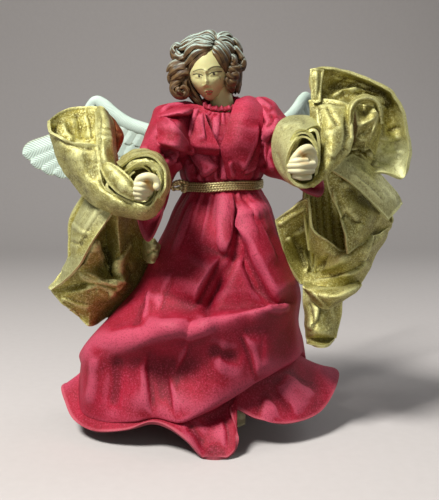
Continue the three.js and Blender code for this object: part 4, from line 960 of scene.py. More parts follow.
# The funnel that stands up from the right wrist: its front wall goes on under the coil and up its far side
sash("funnel_right_cloth", drawn_cloth([
    [(48, 121, -34), (51, 131, -46), (60, 138, -53), (72, 142, -56), (86, 143, -56), (98, 146, -54)],
    [(54, 146, -37), (60, 152, -48), (70, 156, -55), (82, 158, -58), (92, 159, -58), (100, 160, -57)],
    [(62, 168, -40), (69, 172, -49), (78, 174, -55), (87, 175, -58), (95, 175, -59), (101, 175, -59)],
    [(75, 187, -42), (82, 188, -50), (89, 189, -56), (96, 190, -59), (102, 190, -61), (107, 189, -61)],
    [(92, 203, -44), (99, 202, -53), (106, 201, -60), (112, 200, -63), (117, 198, -65), (121, 196, -65)],
    [(112, 213, -46), (118, 211, -56), (124, 209, -63), (129, 207, -67), (133, 205, -69), (136, 203, -69)],
    [(132, 218.5, -48), (136, 217, -58), (140, 215, -65), (143, 212, -70), (145, 209, -72), (147, 206, -72)],
    [(148, 218.5, -50), (150, 216, -60), (151, 213, -66), (151, 210, -70), (151, 207, -72), (151, 204, -72)],
    [(158, 210, -50), (158, 207, -60), (157, 205, -66), (156, 203, -70), (155, 201, -72), (154, 199, -72)],
    [(166, 197, -49), (165, 196, -60), (163.5, 194, -66),
     (162, 193, -70), (160, 192, -72), (158.5, 191, -72)],
    [(168.5, 180, -48), (167, 180, -60), (165.5, 180, -66),
     (164, 180, -70), (162, 180, -72), (160.5, 180, -72)],
    [(165, 163, -48), (163.5, 165, -60), (162, 166.5, -66),
     (160.5, 168, -70), (159, 169.5, -72), (157.5, 171, -72)],
    [(152, 152, -48), (152, 155, -59), (151.5, 157.5, -65),
     (151, 160, -69), (150.5, 162, -71), (150, 164, -71)],
    [(138, 150.5, -47), (139, 154, -57), (139.5, 156.5, -63),
     (140, 159, -67), (140.5, 161.5, -69), (141, 163, -69)],
    [(124, 157, -46), (126, 160, -54), (127.5, 162.5, -60),
     (129, 165, -64), (130, 167, -66), (131, 169, -66)],
    [(117, 167, -46), (119, 169, -52), (121, 171, -57), (123, 173, -60), (125, 175, -62), (126, 176, -62)],
], 60, 300), 0.16, ["sash_flare_right"], [
    ([(53, 136), (64, 144), (80, 148), (97, 150)], 2.2, -1, SOFT),
    ([(70, 144), (82, 170), (104, 196), (128, 211)], 7, 1.4, SOFT),
    ([(84, 150), (88, 168), (97, 182)], 5, -1, SOFT),
    ([(98, 176), (104, 186), (116, 197), (134, 206)], 2.4, -1.2, SOFT),
    ([(60, 150), (72, 176), (92, 198)], 3, -0.8, SOFT),
    ([(120, 166), (132, 156.5), (147, 154.5), (158, 161), (164, 174), (164, 190)], 1.6, 1.5, STEP),
    ([(123, 171), (134, 162), (147, 160), (155, 166), (160.5, 178), (160, 190)], 1.6, 1.5, STEP),
], [(22, 0.5, 45), (8, 0.16, 46)], rims=("last", "start", "end"), reach=1.8, rim=2.2)
sash("funnel_back_cloth", drawn_cloth([
    [(48, 121, -34), (54, 116, -24), (65, 110, -18), (78, 107.5, -16), (90, 107, -18), (101, 108, -22)],
    [(52, 131, -37), (58, 126, -27), (68, 122, -22), (80, 120, -20), (90, 121, -22), (101, 124, -28)],
    [(58, 143, -41), (64, 140, -34), (72, 138, -30), (82, 137, -28), (91, 138, -30), (101, 142, -36)],
    [(66, 159, -44), (72, 157, -40), (78, 156, -37), (85, 155, -36), (92, 156, -38), (101, 160, -42)],
    [(78, 182, -44), (84, 182, -41), (89, 182, -40), (95, 181, -40), (102, 181, -42), (111, 182, -47)],
    [(94, 200, -45), (99, 199, -43), (104, 198, -42), (109, 196, -42), (115, 195, -44), (120, 194, -48)],
], 80, 80), folds=[
    ([(62, 122), (66, 134), (74, 142)], 3, 1.8, SOFT),
    ([(76, 112), (80, 126), (82, 142)], 3, -1.6, SOFT),
    ([(86, 112), (90, 126), (92, 142)], 2.6, 1.6, STEP),
    ([(54, 124), (58, 136), (68, 142)], 2.6, -1.8, SOFT),
], waves=[(9, 0.4, 47)], rims=["start"], reach=1.8, rim=2.2)
sash("funnel_band_cloth", drawn_cloth([
    [(96, 107.5, -18), (101, 107, -26), (105, 110, -27), (108, 114, -20)],
    [(96, 122, -32), (102, 120, -39), (108, 121, -37), (112, 123, -25)],
    [(96.5, 138, -45), (103, 137, -49), (110, 137, -45), (114.5, 138, -30)],
    [(97, 148, -53), (104, 148, -56), (111, 149, -49), (116, 150, -34)],
    [(99, 159, -57), (106, 159, -59), (112, 160, -52), (117, 161, -38)],
    [(101, 170, -59), (108, 170, -60), (113, 170, -54), (117, 170, -42)],
], 50, 80), 0.2, folds=[
    ([(100, 112), (100, 130), (100, 146)], 1.6, -1.2, SOFT),
    ([(96, 127), (104, 128), (113, 132)], 1.2, -0.7, SHARP),
    ([(97, 136), (105, 138), (114, 141)], 1.4, 0.8, SOFT),
    ([(107, 116), (110, 134), (112, 156)], 2.6, 0.8, SOFT),
], waves=[(10, 0.3, 48)])


# The inner turn of a coil, drawn at its mouth, that closes in round the wrist
def lining(mouth, wrist):
    rings = []
    for share, depth in ((1.0, -64), (0.8, -54), (0.5, -46), (0.2, -41)):
        drawn_in = [[w + (m - w) * share for m, w in zip(place, wrist)] for place in mouth]
        rings.append([(*place, depth) for place in drawn_in])
    return drawn_cloth(rings, 120, 40, True)


RIGHT_MOUTH = [
    (108, 184), (113, 194), (122, 202), (134, 206.5), (147, 205), (156, 198), (160, 188),
    (160, 177), (153, 168), (142, 166), (130, 171),
]
LEFT_MOUTH = [
    (316, 131), (306, 133), (298, 142), (292, 153), (289, 163), (289.5, 172.5), (293.5, 180),
    (301, 184.5), (309, 183.5), (316, 176), (319, 150),
]
sash("lining_right_cloth", lining(RIGHT_MOUTH, (141, 183)), waves=[(9, 0.3, 49)], rims=["start"])
sash("lining_left_cloth", lining(LEFT_MOUTH, (306, 156)), waves=[(9, 0.3, 36)], rims=["start"])

# Two turns of the right coil that lie over its top and far side
sash("turn_outer_cloth", drawn_cloth([
    [(117, 163, -50), (119, 165, -60), (121.5, 167, -66)],
    [(127, 155, -52), (129, 157, -63), (131, 159.5, -69)],
    [(136, 151, -52), (137, 153, -65), (138, 156, -72)],
    [(147, 150, -52), (147.5, 152, -66), (148, 155, -73)],
    [(158, 154.5, -52), (157.5, 156.5, -66), (156.5, 159, -73)],
    [(166, 164, -52), (164.5, 165.5, -66), (162.5, 167.5, -73)],
    [(169.5, 177, -52), (167.5, 177.5, -66), (165, 178, -73)],
    [(168, 190, -52), (166, 190, -66), (163.5, 189.5, -73)],
    [(162.5, 201, -54), (161, 200, -66), (159, 198.5, -72)],
], 24, 120), 0.12, waves=[(11, 0.3, 43)], rim=1.6)
sash("turn_inner_cloth", drawn_cloth([
    [(121, 169, -56), (122.5, 171, -63), (124.5, 173, -67)],
    [(131, 161.5, -58), (132, 164, -66), (133, 167, -71)],
    [(141, 157.5, -58), (141.5, 160, -68), (142, 163, -73.5)],
    [(150, 158, -58), (150, 160.5, -69), (150, 163.5, -74.5)],
    [(157.5, 163, -58), (156.5, 165, -69), (155.5, 167.5, -74.5)],
    [(162.5, 172, -58), (161, 173, -69), (159, 174.5, -74.5)],
    [(163.5, 183, -58), (162, 183, -69), (160, 183, -74.5)],
    [(161, 193, -58), (159.5, 192, -68), (157.5, 190.5, -73.5)],
], 24, 110), 0.12, waves=[(11, 0.3, 44)], rim=1.6)

# A corner of the back that is turned over and shows the reverse
sash("corner_right_cloth", drawn_cloth([
    [(108, 113, -22), (110, 126, -24), (112, 140, -26), (114, 153, -28)],
    [(115, 120, -20), (117, 129, -25), (118.5, 140, -27), (116, 153, -28)],
    [(117, 124, -19), (122.5, 134, -22), (123, 141, -25), (117, 154, -28)],
], 30, 24), folds=[
    ([(115, 130), (118, 134), (123, 135)], 1.4, 1.2, STEP),
], waves=[(9, 0.3, 50)], rim=1.0, faces=[RUST])

# The tail below the right wrist: the folded cloth inside and the strip laid over its left side
RIGHT_TAIL = [
    [(86, 192, -24), (96, 197, -38), (108, 202, -43), (118, 206, -36), (127, 213, -20), (136, 216, -8)],
    [(70, 219, -19), (90, 225, -30), (106, 226, -18), (118, 230, -28), (131, 236, -8), (145, 240, 4)],
    [(68.5, 243, -17), (94, 243, -34), (107, 250, -10), (120, 252, -24), (134, 256, -4), (151, 258, 8)],
    [(68.5, 262, -17), (86, 262, -30), (109, 272, -10), (119, 272, -20), (135, 274, -1), (148, 277, 10)],
    [(58, 278, -18), (78, 270, -29), (106, 281, -25), (124, 282, -24), (134, 288, 0), (141, 291, 10)],
    [(51, 289, -18), (82, 284, -20), (100, 284, -16), (114, 288, -15), (130, 296, 1), (134, 298, 8)],
    [(57, 297, -18), (84, 290, -24), (97, 288, -24), (112, 293, -19), (124, 300, 0), (127, 303, 7)],
    [(65, 306, -17), (77, 308, -14), (90, 312, -12), (103, 310, -6), (115, 308, 1), (117, 310, 6)],
    [(72, 311, -16), (80, 318, -12), (88, 326, -12), (97, 324, -4), (106, 316, 1), (107, 317, 5)],
]
right_tail = facets(RIGHT_TAIL, 170, 190)
right_tail.points = 0.6 * right_tail.points + 0.4 * drawn_cloth(RIGHT_TAIL, 170, 190).points
sash("tail_right_cloth", right_tail, nodes=["sash_tail_right"], folds=[
    ([(94, 236), (100, 254), (107, 270), (113, 279)], 2, 3, STEP),
    ([(100, 238), (107, 256), (112, 272)], 3, -3, SOFT),
    ([(113, 279), (117, 262), (129, 240)], 2, 2.6, STEP),
    ([(77, 270), (92, 277), (108, 281), (124, 281)], 2.4, 2.2, STEP),
    ([(84, 287), (96, 283), (112, 290), (126, 282)], 2.2, 2.2, STEP),
    ([(86, 292), (98, 289), (112, 296)], 2.6, -2, SOFT),
    ([(60, 296), (76, 302), (92, 306)], 2.4, 1.2, STEP),
    ([(128, 262), (132, 274), (128, 288)], 2.6, -2, SOFT),
], waves=[(14, 0.4, 52)], taper=0.15)
sash("strip_right_cloth", drawn_cloth([
    [(90, 184, -28), (98, 188, -40), (110, 202, -47)],
    [(82, 197, -20), (92, 203, -38), (111, 213, -47)],
    [(72, 214, -16), (86, 218, -38), (105, 223, -46)],
    [(69, 230, -14), (79, 234, -36), (96, 237, -44)],
    [(70, 247, -14), (75, 252, -32), (86, 254, -40)],
    [(69, 260, -14), (70, 265, -26), (78, 268, -35)],
    [(60, 275, -14), (60, 280, -21), (65, 280, -27)],
    [(50, 288, -16), (50, 289, -19), (53, 290, -21)],
], 60, 130), lambda column, row: 0.45 - 0.3 * ease(row, 224, 236) * (1 - ease(row, 250, 262)), folds=[
    ([(112, 205), (98, 214), (84, 236), (76, 256)], 3, 1.4, STEP),
    ([(72, 222), (82, 232), (92, 234)], 2, 0.8, SOFT),
    ([(70, 240), (78, 244), (84, 243)], 2, -0.9, SOFT),
    ([(72, 255), (70, 264), (66, 274)], 2, 1, STEP),
], waves=[(11, 0.45, 54)])
# A small end of the sash that comes out behind the right sleeve
sash("end_right_cloth", drawn_cloth([
    [(144, 240, 2), (147, 236.5, -6), (151, 237, -13), (155, 240, -15), (158.5, 245, -12)],
    [(143, 246, 2), (146, 244, -9), (151, 245, -17), (156, 247, -18), (160, 250, -13)],
    [(143, 253, 2), (146, 252, -10), (151, 253, -19), (156, 254, -19), (159, 255, -13)],
    [(144, 259, 2), (147, 261, -8), (151, 263, -15), (155, 262, -15), (158, 260, -11)],
], 44, 50), 0.3, folds=[
    ([(146, 238), (152, 244), (158, 246)], 1.4, 1.2, STEP),
    ([(146, 256), (152, 251), (158, 251)], 1.3, -1.2, SOFT),
], waves=[(6, 0.3, 53)])

# Left side: the tube round the wrist, rolled inside, and the leaf that rises from it
sash("tube_left_cloth", drawn_cloth([
    [(316, 119, -36), (294, 116, -40), (281, 121, -46), (274.5, 132, -50), (272, 149, -53), (275, 165, -56),
     (284, 178, -60), (297, 186.5, -62), (309, 187, -58), (322, 178, -50), (325, 148, -42)],
    [(317, 122, -46), (298, 121, -52), (286, 128, -57), (280, 140, -61), (278, 155, -62), (280, 169, -64),
     (287, 180, -65), (298, 187, -66), (309, 187, -62), (322, 178, -56), (325, 148, -50)],
    [(318, 126, -52), (302, 127, -62), (292, 136, -67), (286.5, 148, -69), (284, 160, -70),
     (285, 171.5, -70), (290, 181, -70), (299, 187, -69), (309.5, 186.5, -66), (321, 177.5, -60),
     (324, 148, -54)],
    [(318, 128, -54), (305, 131, -66), (296, 140, -71), (290, 152, -73), (287, 163, -73.5),
     (287.5, 173, -73), (292, 181, -72), (300, 186, -71), (309, 185, -68), (320, 176.5, -61),
     (323, 148, -55)],
], 150, 60, True), 0.45, folds=[
    ([(280, 128), (290, 124), (304, 124)], 3, 0.8, SOFT),
    ([(276, 150), (281, 166), (290, 179)], 2.4, -0.7, SOFT),
], waves=[(16, 0.35, 35)], rims=["end"], reach=1.8, rim=2.2)
sash("coil_left_cloth", coil_cloth((45.4, -73, 176.6), (6.6, 9.4), (8.6, 14.0), 128, -1, 2.4, 35),
     nodes=["sash_coil_left"], rims=["start"], reach=1.3, rim=1.7, thick=COIL_THICK)
sash("leaf_left_cloth", drawn_cloth([
    [(309, 101, -38), (318, 100, -40), (330, 100.5, -42), (340, 102, -44), (347, 105, -44)],
    [(310, 115, -42), (319, 114, -48), (330, 114, -53), (341, 116, -54), (349.5, 119, -50)],
    [(312, 130, -46), (321, 130, -53), (331, 130, -58), (342, 131, -58), (350, 134, -52)],
    [(315, 146, -52), (323, 147, -59), (332, 147, -62), (341, 147, -60), (348.5, 148, -53)],
    [(317.5, 160, -57), (324, 161, -62), (330, 161, -64), (336, 160, -61), (341.5, 159, -55)],
    [(317.5, 171, -62), (322, 172, -65), (326, 172, -65), (329, 171, -62), (331, 169, -57)],
    [(313, 180, -66), (316, 181.5, -67), (319, 181.5, -66), (321, 180, -64), (322, 178, -60)],
    [(304, 186, -69), (306, 187, -68), (308, 187, -67), (310, 186.5, -65), (312, 185.5, -62)],
], 90, 130), 0.08, folds=[
    ([(350, 118), (350, 136), (346, 150), (334, 166)], 1.6, 1.6, SOFT),
    ([(345.5, 112), (346, 134), (342, 149), (330, 164)], 2, -1.2, SOFT),
    ([(318, 106), (320, 118), (321, 130)], 2.4, 1.2, STEP),
    ([(326, 104), (332, 116), (340, 128)], 3, -1, SOFT),
    ([(313, 120), (318, 145), (321, 165)], 2.4, -0.8, SOFT),
    ([(330, 128), (334, 144), (331, 160)], 6, 0.8, SOFT),
    ([(312, 104), (328, 103), (345, 106)], 1.5, -0.9, SHARP),
], waves=[(14, 0.4, 58)], rims=("last", "start"), reach=1.8, rim=2.6)


# The brim is paler at its lower outer side
def brim_pale(column, row):
    lower = 0.75 * ease(row, 132, 150) * ease(column, 364, 384)
    return np.clip(lower + 0.2 * ease(column, 392, 404), 0, 0.8)


# The brim that fans out behind the leaf, the hem folded back at its near end and the rosette
sash("fan_left_cloth", Cloth(loft([
    [(72, -26, 196), (62, -40, 203), (53.4, -40, 214), (52.2, -40, 225.9)],
    [(78, -18, 197), (71, -35, 205), (65.3, -33, 217), (61.5, -39, 227)],
    [(82, -16, 196), (79, -34, 205.5), (80.1, -30, 215.6), (79.2, -37, 223.3)],
    [(86, -16, 195), (89, -33, 203), (97, -27, 210), (99.2, -36, 214.2)],
    [(87, -16, 192.5), (95, -32, 195), (104, -26, 198), (108.4, -36, 198.7)],
    [(87, -16, 190), (94, -32, 186.5), (106, -26, 184.6), (112.4, -36, 182.4)],
    [(86, -17, 189), (92, -32, 184), (106, -26, 179), (112, -36, 172)],
    [(84, -18, 188), (87, -33, 180.5), (101, -28, 173.6), (108.9, -35, 163)],
    [(81, -20, 188), (82, -34, 179), (95, -29, 172.5), (100.5, -34.5, 165)],
    [(78, -22, 188), (76, -37, 178), (86.8, -31, 171.4), (92.6, -34, 165.6)],
    [(68, -34, 184), (64, -44, 175), (68, -42, 167), (74, -40, 163)],
], 90, 220)), brim_pale, ["sash_flare_left"], [
    ([(328, 99), (342, 92), (360, 90), (377, 98), (389, 114)], 3, 3, SOFT),
    ([(326, 90), (344, 82), (364, 85), (383, 97), (394, 112)], 4, -2.4, SOFT),
    ([(352, 104), (361, 98), (372, 99), (380, 107)], 2, 2.6, SHARP),
    ([(362, 94), (374, 104), (388, 108)], 1.8, 1.8, STEP),
    ([(330, 76), (350, 78), (374, 88)], 2.6, 1.4, STEP),
    ([(380, 110), (388, 122), (394, 136)], 3, -2.2, SOFT),
    ([(404, 138), (390, 141), (374, 139)], 2.4, 2, STEP),
    ([(376, 150), (392, 154), (405, 152)], 2.4, 1.2, SOFT),
    ([(352, 149), (364, 158), (378, 167)], 2.4, 2.6, SHARP),
    ([(356, 148), (366, 152), (374, 149)], 2, -2.4, SOFT),
    ([(372, 148), (373, 158), (380, 166)], 2, 1.4, STEP),
    ([(384, 132), (396, 128), (404, 128)], 2.4, -1.2, SOFT),
], [(18, 0.5, 55), (7, 0.22, 56)], rims=("last", "start", "end"), reach=2.2, rim=2.6)
sash("tab_left_cloth", drawn_cloth([
    [(310.5, 69, -42), (316, 68.5, -43), (324, 69.5, -42)],
    [(311, 80, -42), (316, 80, -43.5), (322, 80, -42)],
    [(311.5, 92, -42), (316, 93, -43.5), (320.5, 92, -42.5)],
    [(312, 101, -42), (316, 103, -44), (320, 102, -43.5)],
], 40, 60), 0.15, folds=[
    ([(317, 70), (317, 86), (316, 101)], 1.4, 0.6, STEP),
], waves=[(6, 0.25, 57)])
sash("rosette_left_cloth", facets([
    [(348, 107, -38), (353, 104, -44), (362, 105, -38), (372, 107, -42), (380, 114, -34)],
    [(350, 116, -40), (355, 110, -48), (364, 112, -40), (376, 112, -48), (381, 120, -34)],
    [(351, 127, -38), (358, 126, -47), (367, 122, -49), (377, 117, -45), (380, 128, -34)],
    [(352, 137, -38), (356, 137, -45), (363, 131, -42), (373, 131, -46), (378, 138, -34)],
    [(350, 145, -37), (360, 140, -46), (366, 140, -44), (369, 141, -42), (376, 148, -32)],
    [(349, 151, -40), (358, 148, -38), (365, 150, -42), (370, 147, -36), (374, 155, -32)],
], 61, 76), 0.12, waves=[(8, 0.25, 61)])

# The fold of the fan that arches over the rosette
sash("hood_left_cloth", drawn_cloth([
    [(352, 132, -50), (350, 132, -52.5), (348, 133, -50)],
    [(352.5, 120, -50), (350, 119.5, -53), (347.5, 119, -50)],
    [(353.5, 110, -49), (351, 108.5, -52.5), (348.5, 107, -48)],
    [(358.5, 103, -47), (357, 100.5, -50.5), (355.5, 98.5, -45)],
    [(367.5, 100.5, -45), (367.3, 98, -48), (367, 95.5, -42)],
    [(375, 104, -42), (376.5, 102, -45), (378, 100, -39)],
    [(378.5, 113, -40), (380.5, 112, -42), (382.5, 111, -36)],
    [(379.5, 124, -38), (381.5, 123.5, -40), (383.5, 123, -34)],
], 30, 110), 0.05, waves=[(12, 0.3, 62)])

# The tail below the left wrist: back wall, lower drape, front panel, band, pouch and flap
LEFT_BACK_ACROSS = 120
LEFT_BACK_DOWN = 60
LEFT_BACK_PLEATS = 13
left_back = drawn_cloth([
    [(304, 184, -16), (316, 180, -4), (332, 176, 2), (350, 172, 0), (370, 178, -8), (384, 190, -10)],
    [(303, 205, -16), (316, 204, -2), (334, 202, 4), (354, 200, 2), (374, 204, -8), (388, 206, -8)],
    [(305, 226, -16), (318, 228, -4), (336, 228, 2), (358, 226, 0), (376, 222, -8), (393, 220, -10)],
    [(308, 250, -14), (322, 252, -6), (340, 252, -2), (358, 248, -4), (374, 240, -6), (386, 230, -8)],
], LEFT_BACK_ACROSS, LEFT_BACK_DOWN)
pleat_turns = np.linspace(0, 1, LEFT_BACK_ACROSS) * FULL_TURN * LEFT_BACK_PLEATS
unevenness = np.sin(np.linspace(0, 9, LEFT_BACK_ACROSS))
pleats = np.sin(pleat_turns + unevenness)[:, None] * np.ones((1, LEFT_BACK_DOWN))
sash("tail_left_back_cloth", left_back.push(pleats * 0.45))
LEFT_DRAPE = [
    [(275, 220, -16), (280, 240, -14), (287, 262, -14), (300, 284, -16)],
    [(292, 208, -20), (293, 226, -14), (298, 254, -2), (306, 285, -16)],
    [(308, 199, -22), (307, 226, -12), (308, 256, 2), (313, 286, -18)],
    [(312, 228, -24), (311, 250, -14), (314, 268, -8), (321, 287, -22)],
    [(328, 240, -28), (327, 256, -28), (329, 270, -22), (332, 287, -26)],
    [(347, 252, -32), (346, 259, -36), (345, 272, -30), (344, 287, -28)],
    [(368, 240, -28), (365, 250, -32), (360, 264, -28), (352, 285, -26)],
    [(386, 228, -16), (381, 240, -18), (373, 254, -19), (358, 284, -20)],
    [(389, 225, -6), (385, 237, -8), (376, 253, -10), (359, 284, -14)],
]
left_drape = np.array([[seen(*p) for p in row] for row in LEFT_DRAPE]).transpose(1, 0, 2)
sash("tail_left_cloth", Cloth(loft(left_drape, 210, 120)), 0.05, ["sash_tail_left"], [
    ([(386, 231), (362, 247), (338, 261), (314, 274)], 4, 3.2, SOFT),
    ([(312, 283), (334, 277), (356, 268), (368, 257)], 2.4, 2.6, STEP),
    ([(374, 233), (369, 247), (363, 262)], 1.8, 2, STEP),
    ([(277, 226), (292, 215), (307, 207)], 2.2, 1.4, SOFT),
    ([(284, 240), (296, 231), (308, 225)], 2, 1.6, STEP),
    ([(298, 246), (304, 262), (308, 274)], 2.4, 3, SOFT),
    ([(312, 252), (312, 264), (309, 274)], 2.2, -2, SOFT),
    ([(292, 232), (300, 250), (306, 270)], 3, -2.2, SOFT),
    ([(330, 252), (322, 264), (312, 276)], 3, -2, SOFT),
], [(16, 0.4, 63)], 0.15, ("first", "last", "start"))
sash("panel_left_cloth", drawn_cloth([
    [(325, 156, -46), (340, 152, -44), (352, 156, -40), (363, 168, -33)],
    [(327.5, 186, -45), (343, 188, -47), (356, 194, -40), (370, 203, -29)],
    [(337, 208, -47), (350, 208, -48), (364, 210, -41), (382, 215, -27)],
    [(341, 226, -49), (353, 224, -46), (368, 222, -39), (391, 224, -12)],
    [(345, 241, -49), (353, 236, -47), (363, 233, -40), (384, 234, -11)],
    [(348, 254, -48), (350, 252, -47), (353, 249, -45), (358, 245, -41)],
], 90, 100), 0.05, folds=[
    ([(336, 222), (346, 214), (356, 222), (366, 222)], 3, -1.8, SOFT),
    ([(332, 186), (338, 208), (346, 246)], 2.6, 1.4, SOFT),
    ([(340, 182), (352, 186), (362, 196)], 4, 1.2, SOFT),
    ([(352, 212), (360, 226), (356, 242)], 4, 1, SOFT),
], waves=[(14, 0.35, 66)])
sash("band_left_cloth", drawn_cloth([
    [(331, 170, -54), (341, 161, -50), (352, 154, -42)],
    [(347, 180.5, -52), (358, 171, -47), (368, 164, -36)],
    [(363, 194.5, -47), (375, 184, -41), (385, 180, -25)],
    [(376, 207.5, -42), (388, 197, -35), (396, 193, -18)],
    [(388, 220, -36), (395, 212, -29), (401, 204, -15)],
], 50, 80), 0.4, folds=[
    ([(350, 172), (366, 185), (384, 204)], 2.2, 0.8, STEP),
    ([(358, 164), (376, 180), (392, 200)], 2.2, -0.7, SOFT),
], waves=[(12, 0.35, 68)])
sash("pouch_left_cloth", drawn_cloth([
    [(303, 283, -18), (303, 287, -26), (307, 292, -24)],
    [(318, 283, -14), (319, 294, -36), (317, 303, -28)],
    [(334, 282, -12), (336, 295, -42), (328, 307.5, -30)],
    [(349, 280, -12), (353, 290, -39), (342, 301, -28)],
    [(359, 281, -18), (361, 285, -29), (355, 292, -26)],
], 50, 90), 0.05, folds=[
    ([(305, 286), (325, 289), (345, 287), (358, 282)], 1.6, 1.4, STEP),
    ([(312, 290), (322, 300), (328, 306)], 2, 1, STEP),
], waves=[(10, 0.3, 70)])
sash("flap_left_cloth", drawn_cloth([
    [(303, 284, -16), (315, 285, -19), (329, 285, -25), (344, 284, -27)],
    [(305, 316, -16), (314, 318, -27), (327, 320, -24), (340, 318, -16)],
    [(306, 334, -18), (315, 333, -30), (327, 333, -28), (336, 334, -18)],
    [(307, 339, -18), (316, 339, -22), (327, 340, -21), (335, 338, -18)],
    [(308, 344, -20), (317, 347, -31), (327, 346, -31), (334, 340, -21)],
], 80, 90), 0.1, folds=[
    ([(320, 304), (317, 318), (312, 332)], 2, 2.4, STEP),
    ([(308, 300), (312, 316), (314, 330)], 2, -1.4, SOFT),
    ([(330, 302), (332, 318), (330, 332)], 2.6, 0.8, SOFT),
], waves=[(12, 0.3, 72)])

# Head, hair, hands, feet, wings, braid and collar


def mesh_piece(name, points, faces):
    mesh = bpy.data.meshes.new(name)
    mesh.from_pydata(metres(points).tolist(), [], faces)
    mesh.update()
    obj = bpy.data.objects.new(name, mesh)
    bpy.context.collection.objects.link(obj)
    return obj


def point_colours(obj, colours):
    layer = obj.data.attributes.new("painted", "FLOAT_COLOR", "POINT")
    layer.data.foreach_set("color", np.asarray(colours, np.float32).ravel())


def copied(obj):
    copy = obj.copy()
    copy.data = obj.data.copy()
    bpy.context.collection.objects.link(copy)
    return copy


def joined(name, objects):
    bpy.ops.object.select_all(action="DESELECT")
    for obj in objects:
        obj.select_set(True)
    bpy.context.view_layer.objects.active = objects[0]
    bpy.ops.object.join()
    whole = bpy.context.view_layer.objects.active
    whole.name = name
    return whole


def sphere(segments, rings):
    return primitive(bpy.ops.mesh.primitive_uv_sphere_add, segments=segments, ring_count=rings, radius=1)


def around_ring(count):
    return np.arange(count) * 2 * math.pi / count


# A closed tube along a path; each ring is an oval with its height along "outward"
def tube(path, wide, tall, outward, around, relief=None):
    along = len(path)
    tangent = unit(np.gradient(path, axis=0))
    outward = np.broadcast_to(outward, path.shape)
    out = unit(outward - np.sum(outward * tangent, -1, keepdims=True) * tangent)
    side = np.cross(tangent, out)
    angle = around_ring(around)
    ring = np.ones((along, around)) if relief is None else relief
    rows = (
        path[:, None]
        + side[:, None] * (wide[:, None] * np.cos(angle) * ring)[..., None]
        + out[:, None] * (tall[:, None] * np.sin(angle) * ring)[..., None]
    )
    points = np.concatenate([rows.reshape(-1, 3), path[:1], path[-1:]])
    faces = []
    last = len(points) - 1
    for i in range(along - 1):
        for k in range(around):
            n = (k + 1) % around
            faces.append((i * around + k, i * around + n, (i + 1) * around + n, (i + 1) * around + k))
    for k in range(around):
        n = (k + 1) % around
        faces.append((last - 1, n, k))
        faces.append((last, (along - 1) * around + k, (along - 1) * around + n))
    return points, faces


# The head's place, half sizes and pose, and the line of the neck
HEAD_CENTRE = np.array([-7.0, -5.5, 230.0])
HEAD_HALF = (13.2, 15.2, 20)
HEAD_TURN = math.radians(-10)
HEAD_TILT = math.radians(-6)
NECK_PATH = [[2, 0.5, 203.5], [1.4, -0.6, 210], [-2, -3, 224], [-3, -3.5, 230]]
NECK_RINGS = 30
# The face is modelled by lines and spots drawn in the picture: where, how wide, how far out
FACE_STROKES = (
    ([(193, 70.5), (198, 69.2), (203, 69.6)], 2.2, 0.2),
    ([(208, 69.8), (213, 67), (222, 67.6)], 2.2, 0.2),
    ([(194, 76), (202, 76)], 3.2, -1.1),
    ([(209, 74.6), (219, 73.2)], 3.4, -1.1),
    ([(196.5, 76.3), (200.5, 76.5)], 2.2, 0.9),
    ([(211, 74.4), (217, 73.6)], 2.3, 0.9),
    ([(205.4, 72), (205.6, 78), (206.2, 84.6)], 2, 1.2),
    ([(206, 82.6), (206.6, 85.6)], 2.1, 1),
    ([(203.8, 86), (203.9, 86)], 1.4, 0.5),
    ([(208.8, 85.8), (208.9, 85.8)], 1.4, 0.5),
    ([(205, 89.4), (211, 89)], 1.6, -0.6),
    ([(206.4, 91.4), (209, 91.6), (212, 91)], 1.3, 1),
    ([(207.4, 94), (209.6, 94.3), (211.6, 93.7)], 1.3, 1.1),
    ([(205.8, 92.7), (209, 92.9), (212.6, 92.3)], 0.7, -0.7),
    ([(208, 96.4), (212, 96.2)], 1.5, -0.6),
    ([(210, 99), (213, 99)], 3, 1.1),
    ([(196, 84), (199, 87)], 4.5, 0.7),
    ([(217, 82), (219, 86)], 5, 0.8),
)
BROW = (0.055, 0.035, 0.012)
LID = (0.03, 0.02, 0.012)
LIPS = (0.60, 0.045, 0.06)
# Painted lines: where, how wide, colour and cover
FACE_PAINT = (
    ([(193.2, 71.6), (197, 70), (201, 69.2), (205, 70.4)], 0.5, BROW, 0.75),
    ([(208.4, 69.8), (211, 67.8), (214, 66.8), (218, 66.6), (221.8, 67.2)], 0.75, BROW, 0.9),
    ([(193.4, 74.6), (196, 73.9), (199.5, 74.2), (202.4, 75.4)], 0.55, LID, 1),
    ([(209, 74.4), (211.5, 72.6), (215.5, 71.9), (221.6, 71.6)], 0.6, LID, 1),
    ([(199, 75.8), (199.3, 76.5)], 1.15, LID, 1),
    ([(213.7, 73.4), (214.1, 74.2)], 1.3, LID, 1),
    ([(195.5, 77.9), (199, 78.4), (202, 77.4)], 0.4, BROW, 0.35),
    ([(210.5, 76.4), (214, 76.6), (218, 75.2)], 0.4, BROW, 0.35),
    ([(206.2, 91.6), (208.2, 91), (209.2, 91.4), (210.4, 90.8), (212.4, 91.2)], 0.72, LIPS, 0.9),
    ([(207.6, 93.7), (209.6, 94.3), (211.2, 93.4)], 0.9, LIPS, 0.85),
    ([(206.2, 92.7), (209.2, 92.8), (212.4, 92.2)], 0.4, (0.22, 0.02, 0.03), 0.8),
    # Painted shade down the left side of the nose and under its tip
    ([(203.6, 73), (203.8, 79), (204, 85)], 0.6, (0.47, 0.40, 0.16), 0.4),
    ([(204.4, 86.9), (206.4, 87.3), (208.2, 86.8)], 0.55, (0.36, 0.24, 0.09), 0.5),
    ([(219.6, 76.5), (220.4, 79.5)], 0.5, (0.20, 0.17, 0.10), 0.55),
    ([(221.4, 75.5), (220.9, 77)], 0.35, (0.20, 0.17, 0.10), 0.5),
    ([(213.6, 79.6), (213.7, 79.8)], 0.5, (0.30, 0.24, 0.12), 0.5),
)


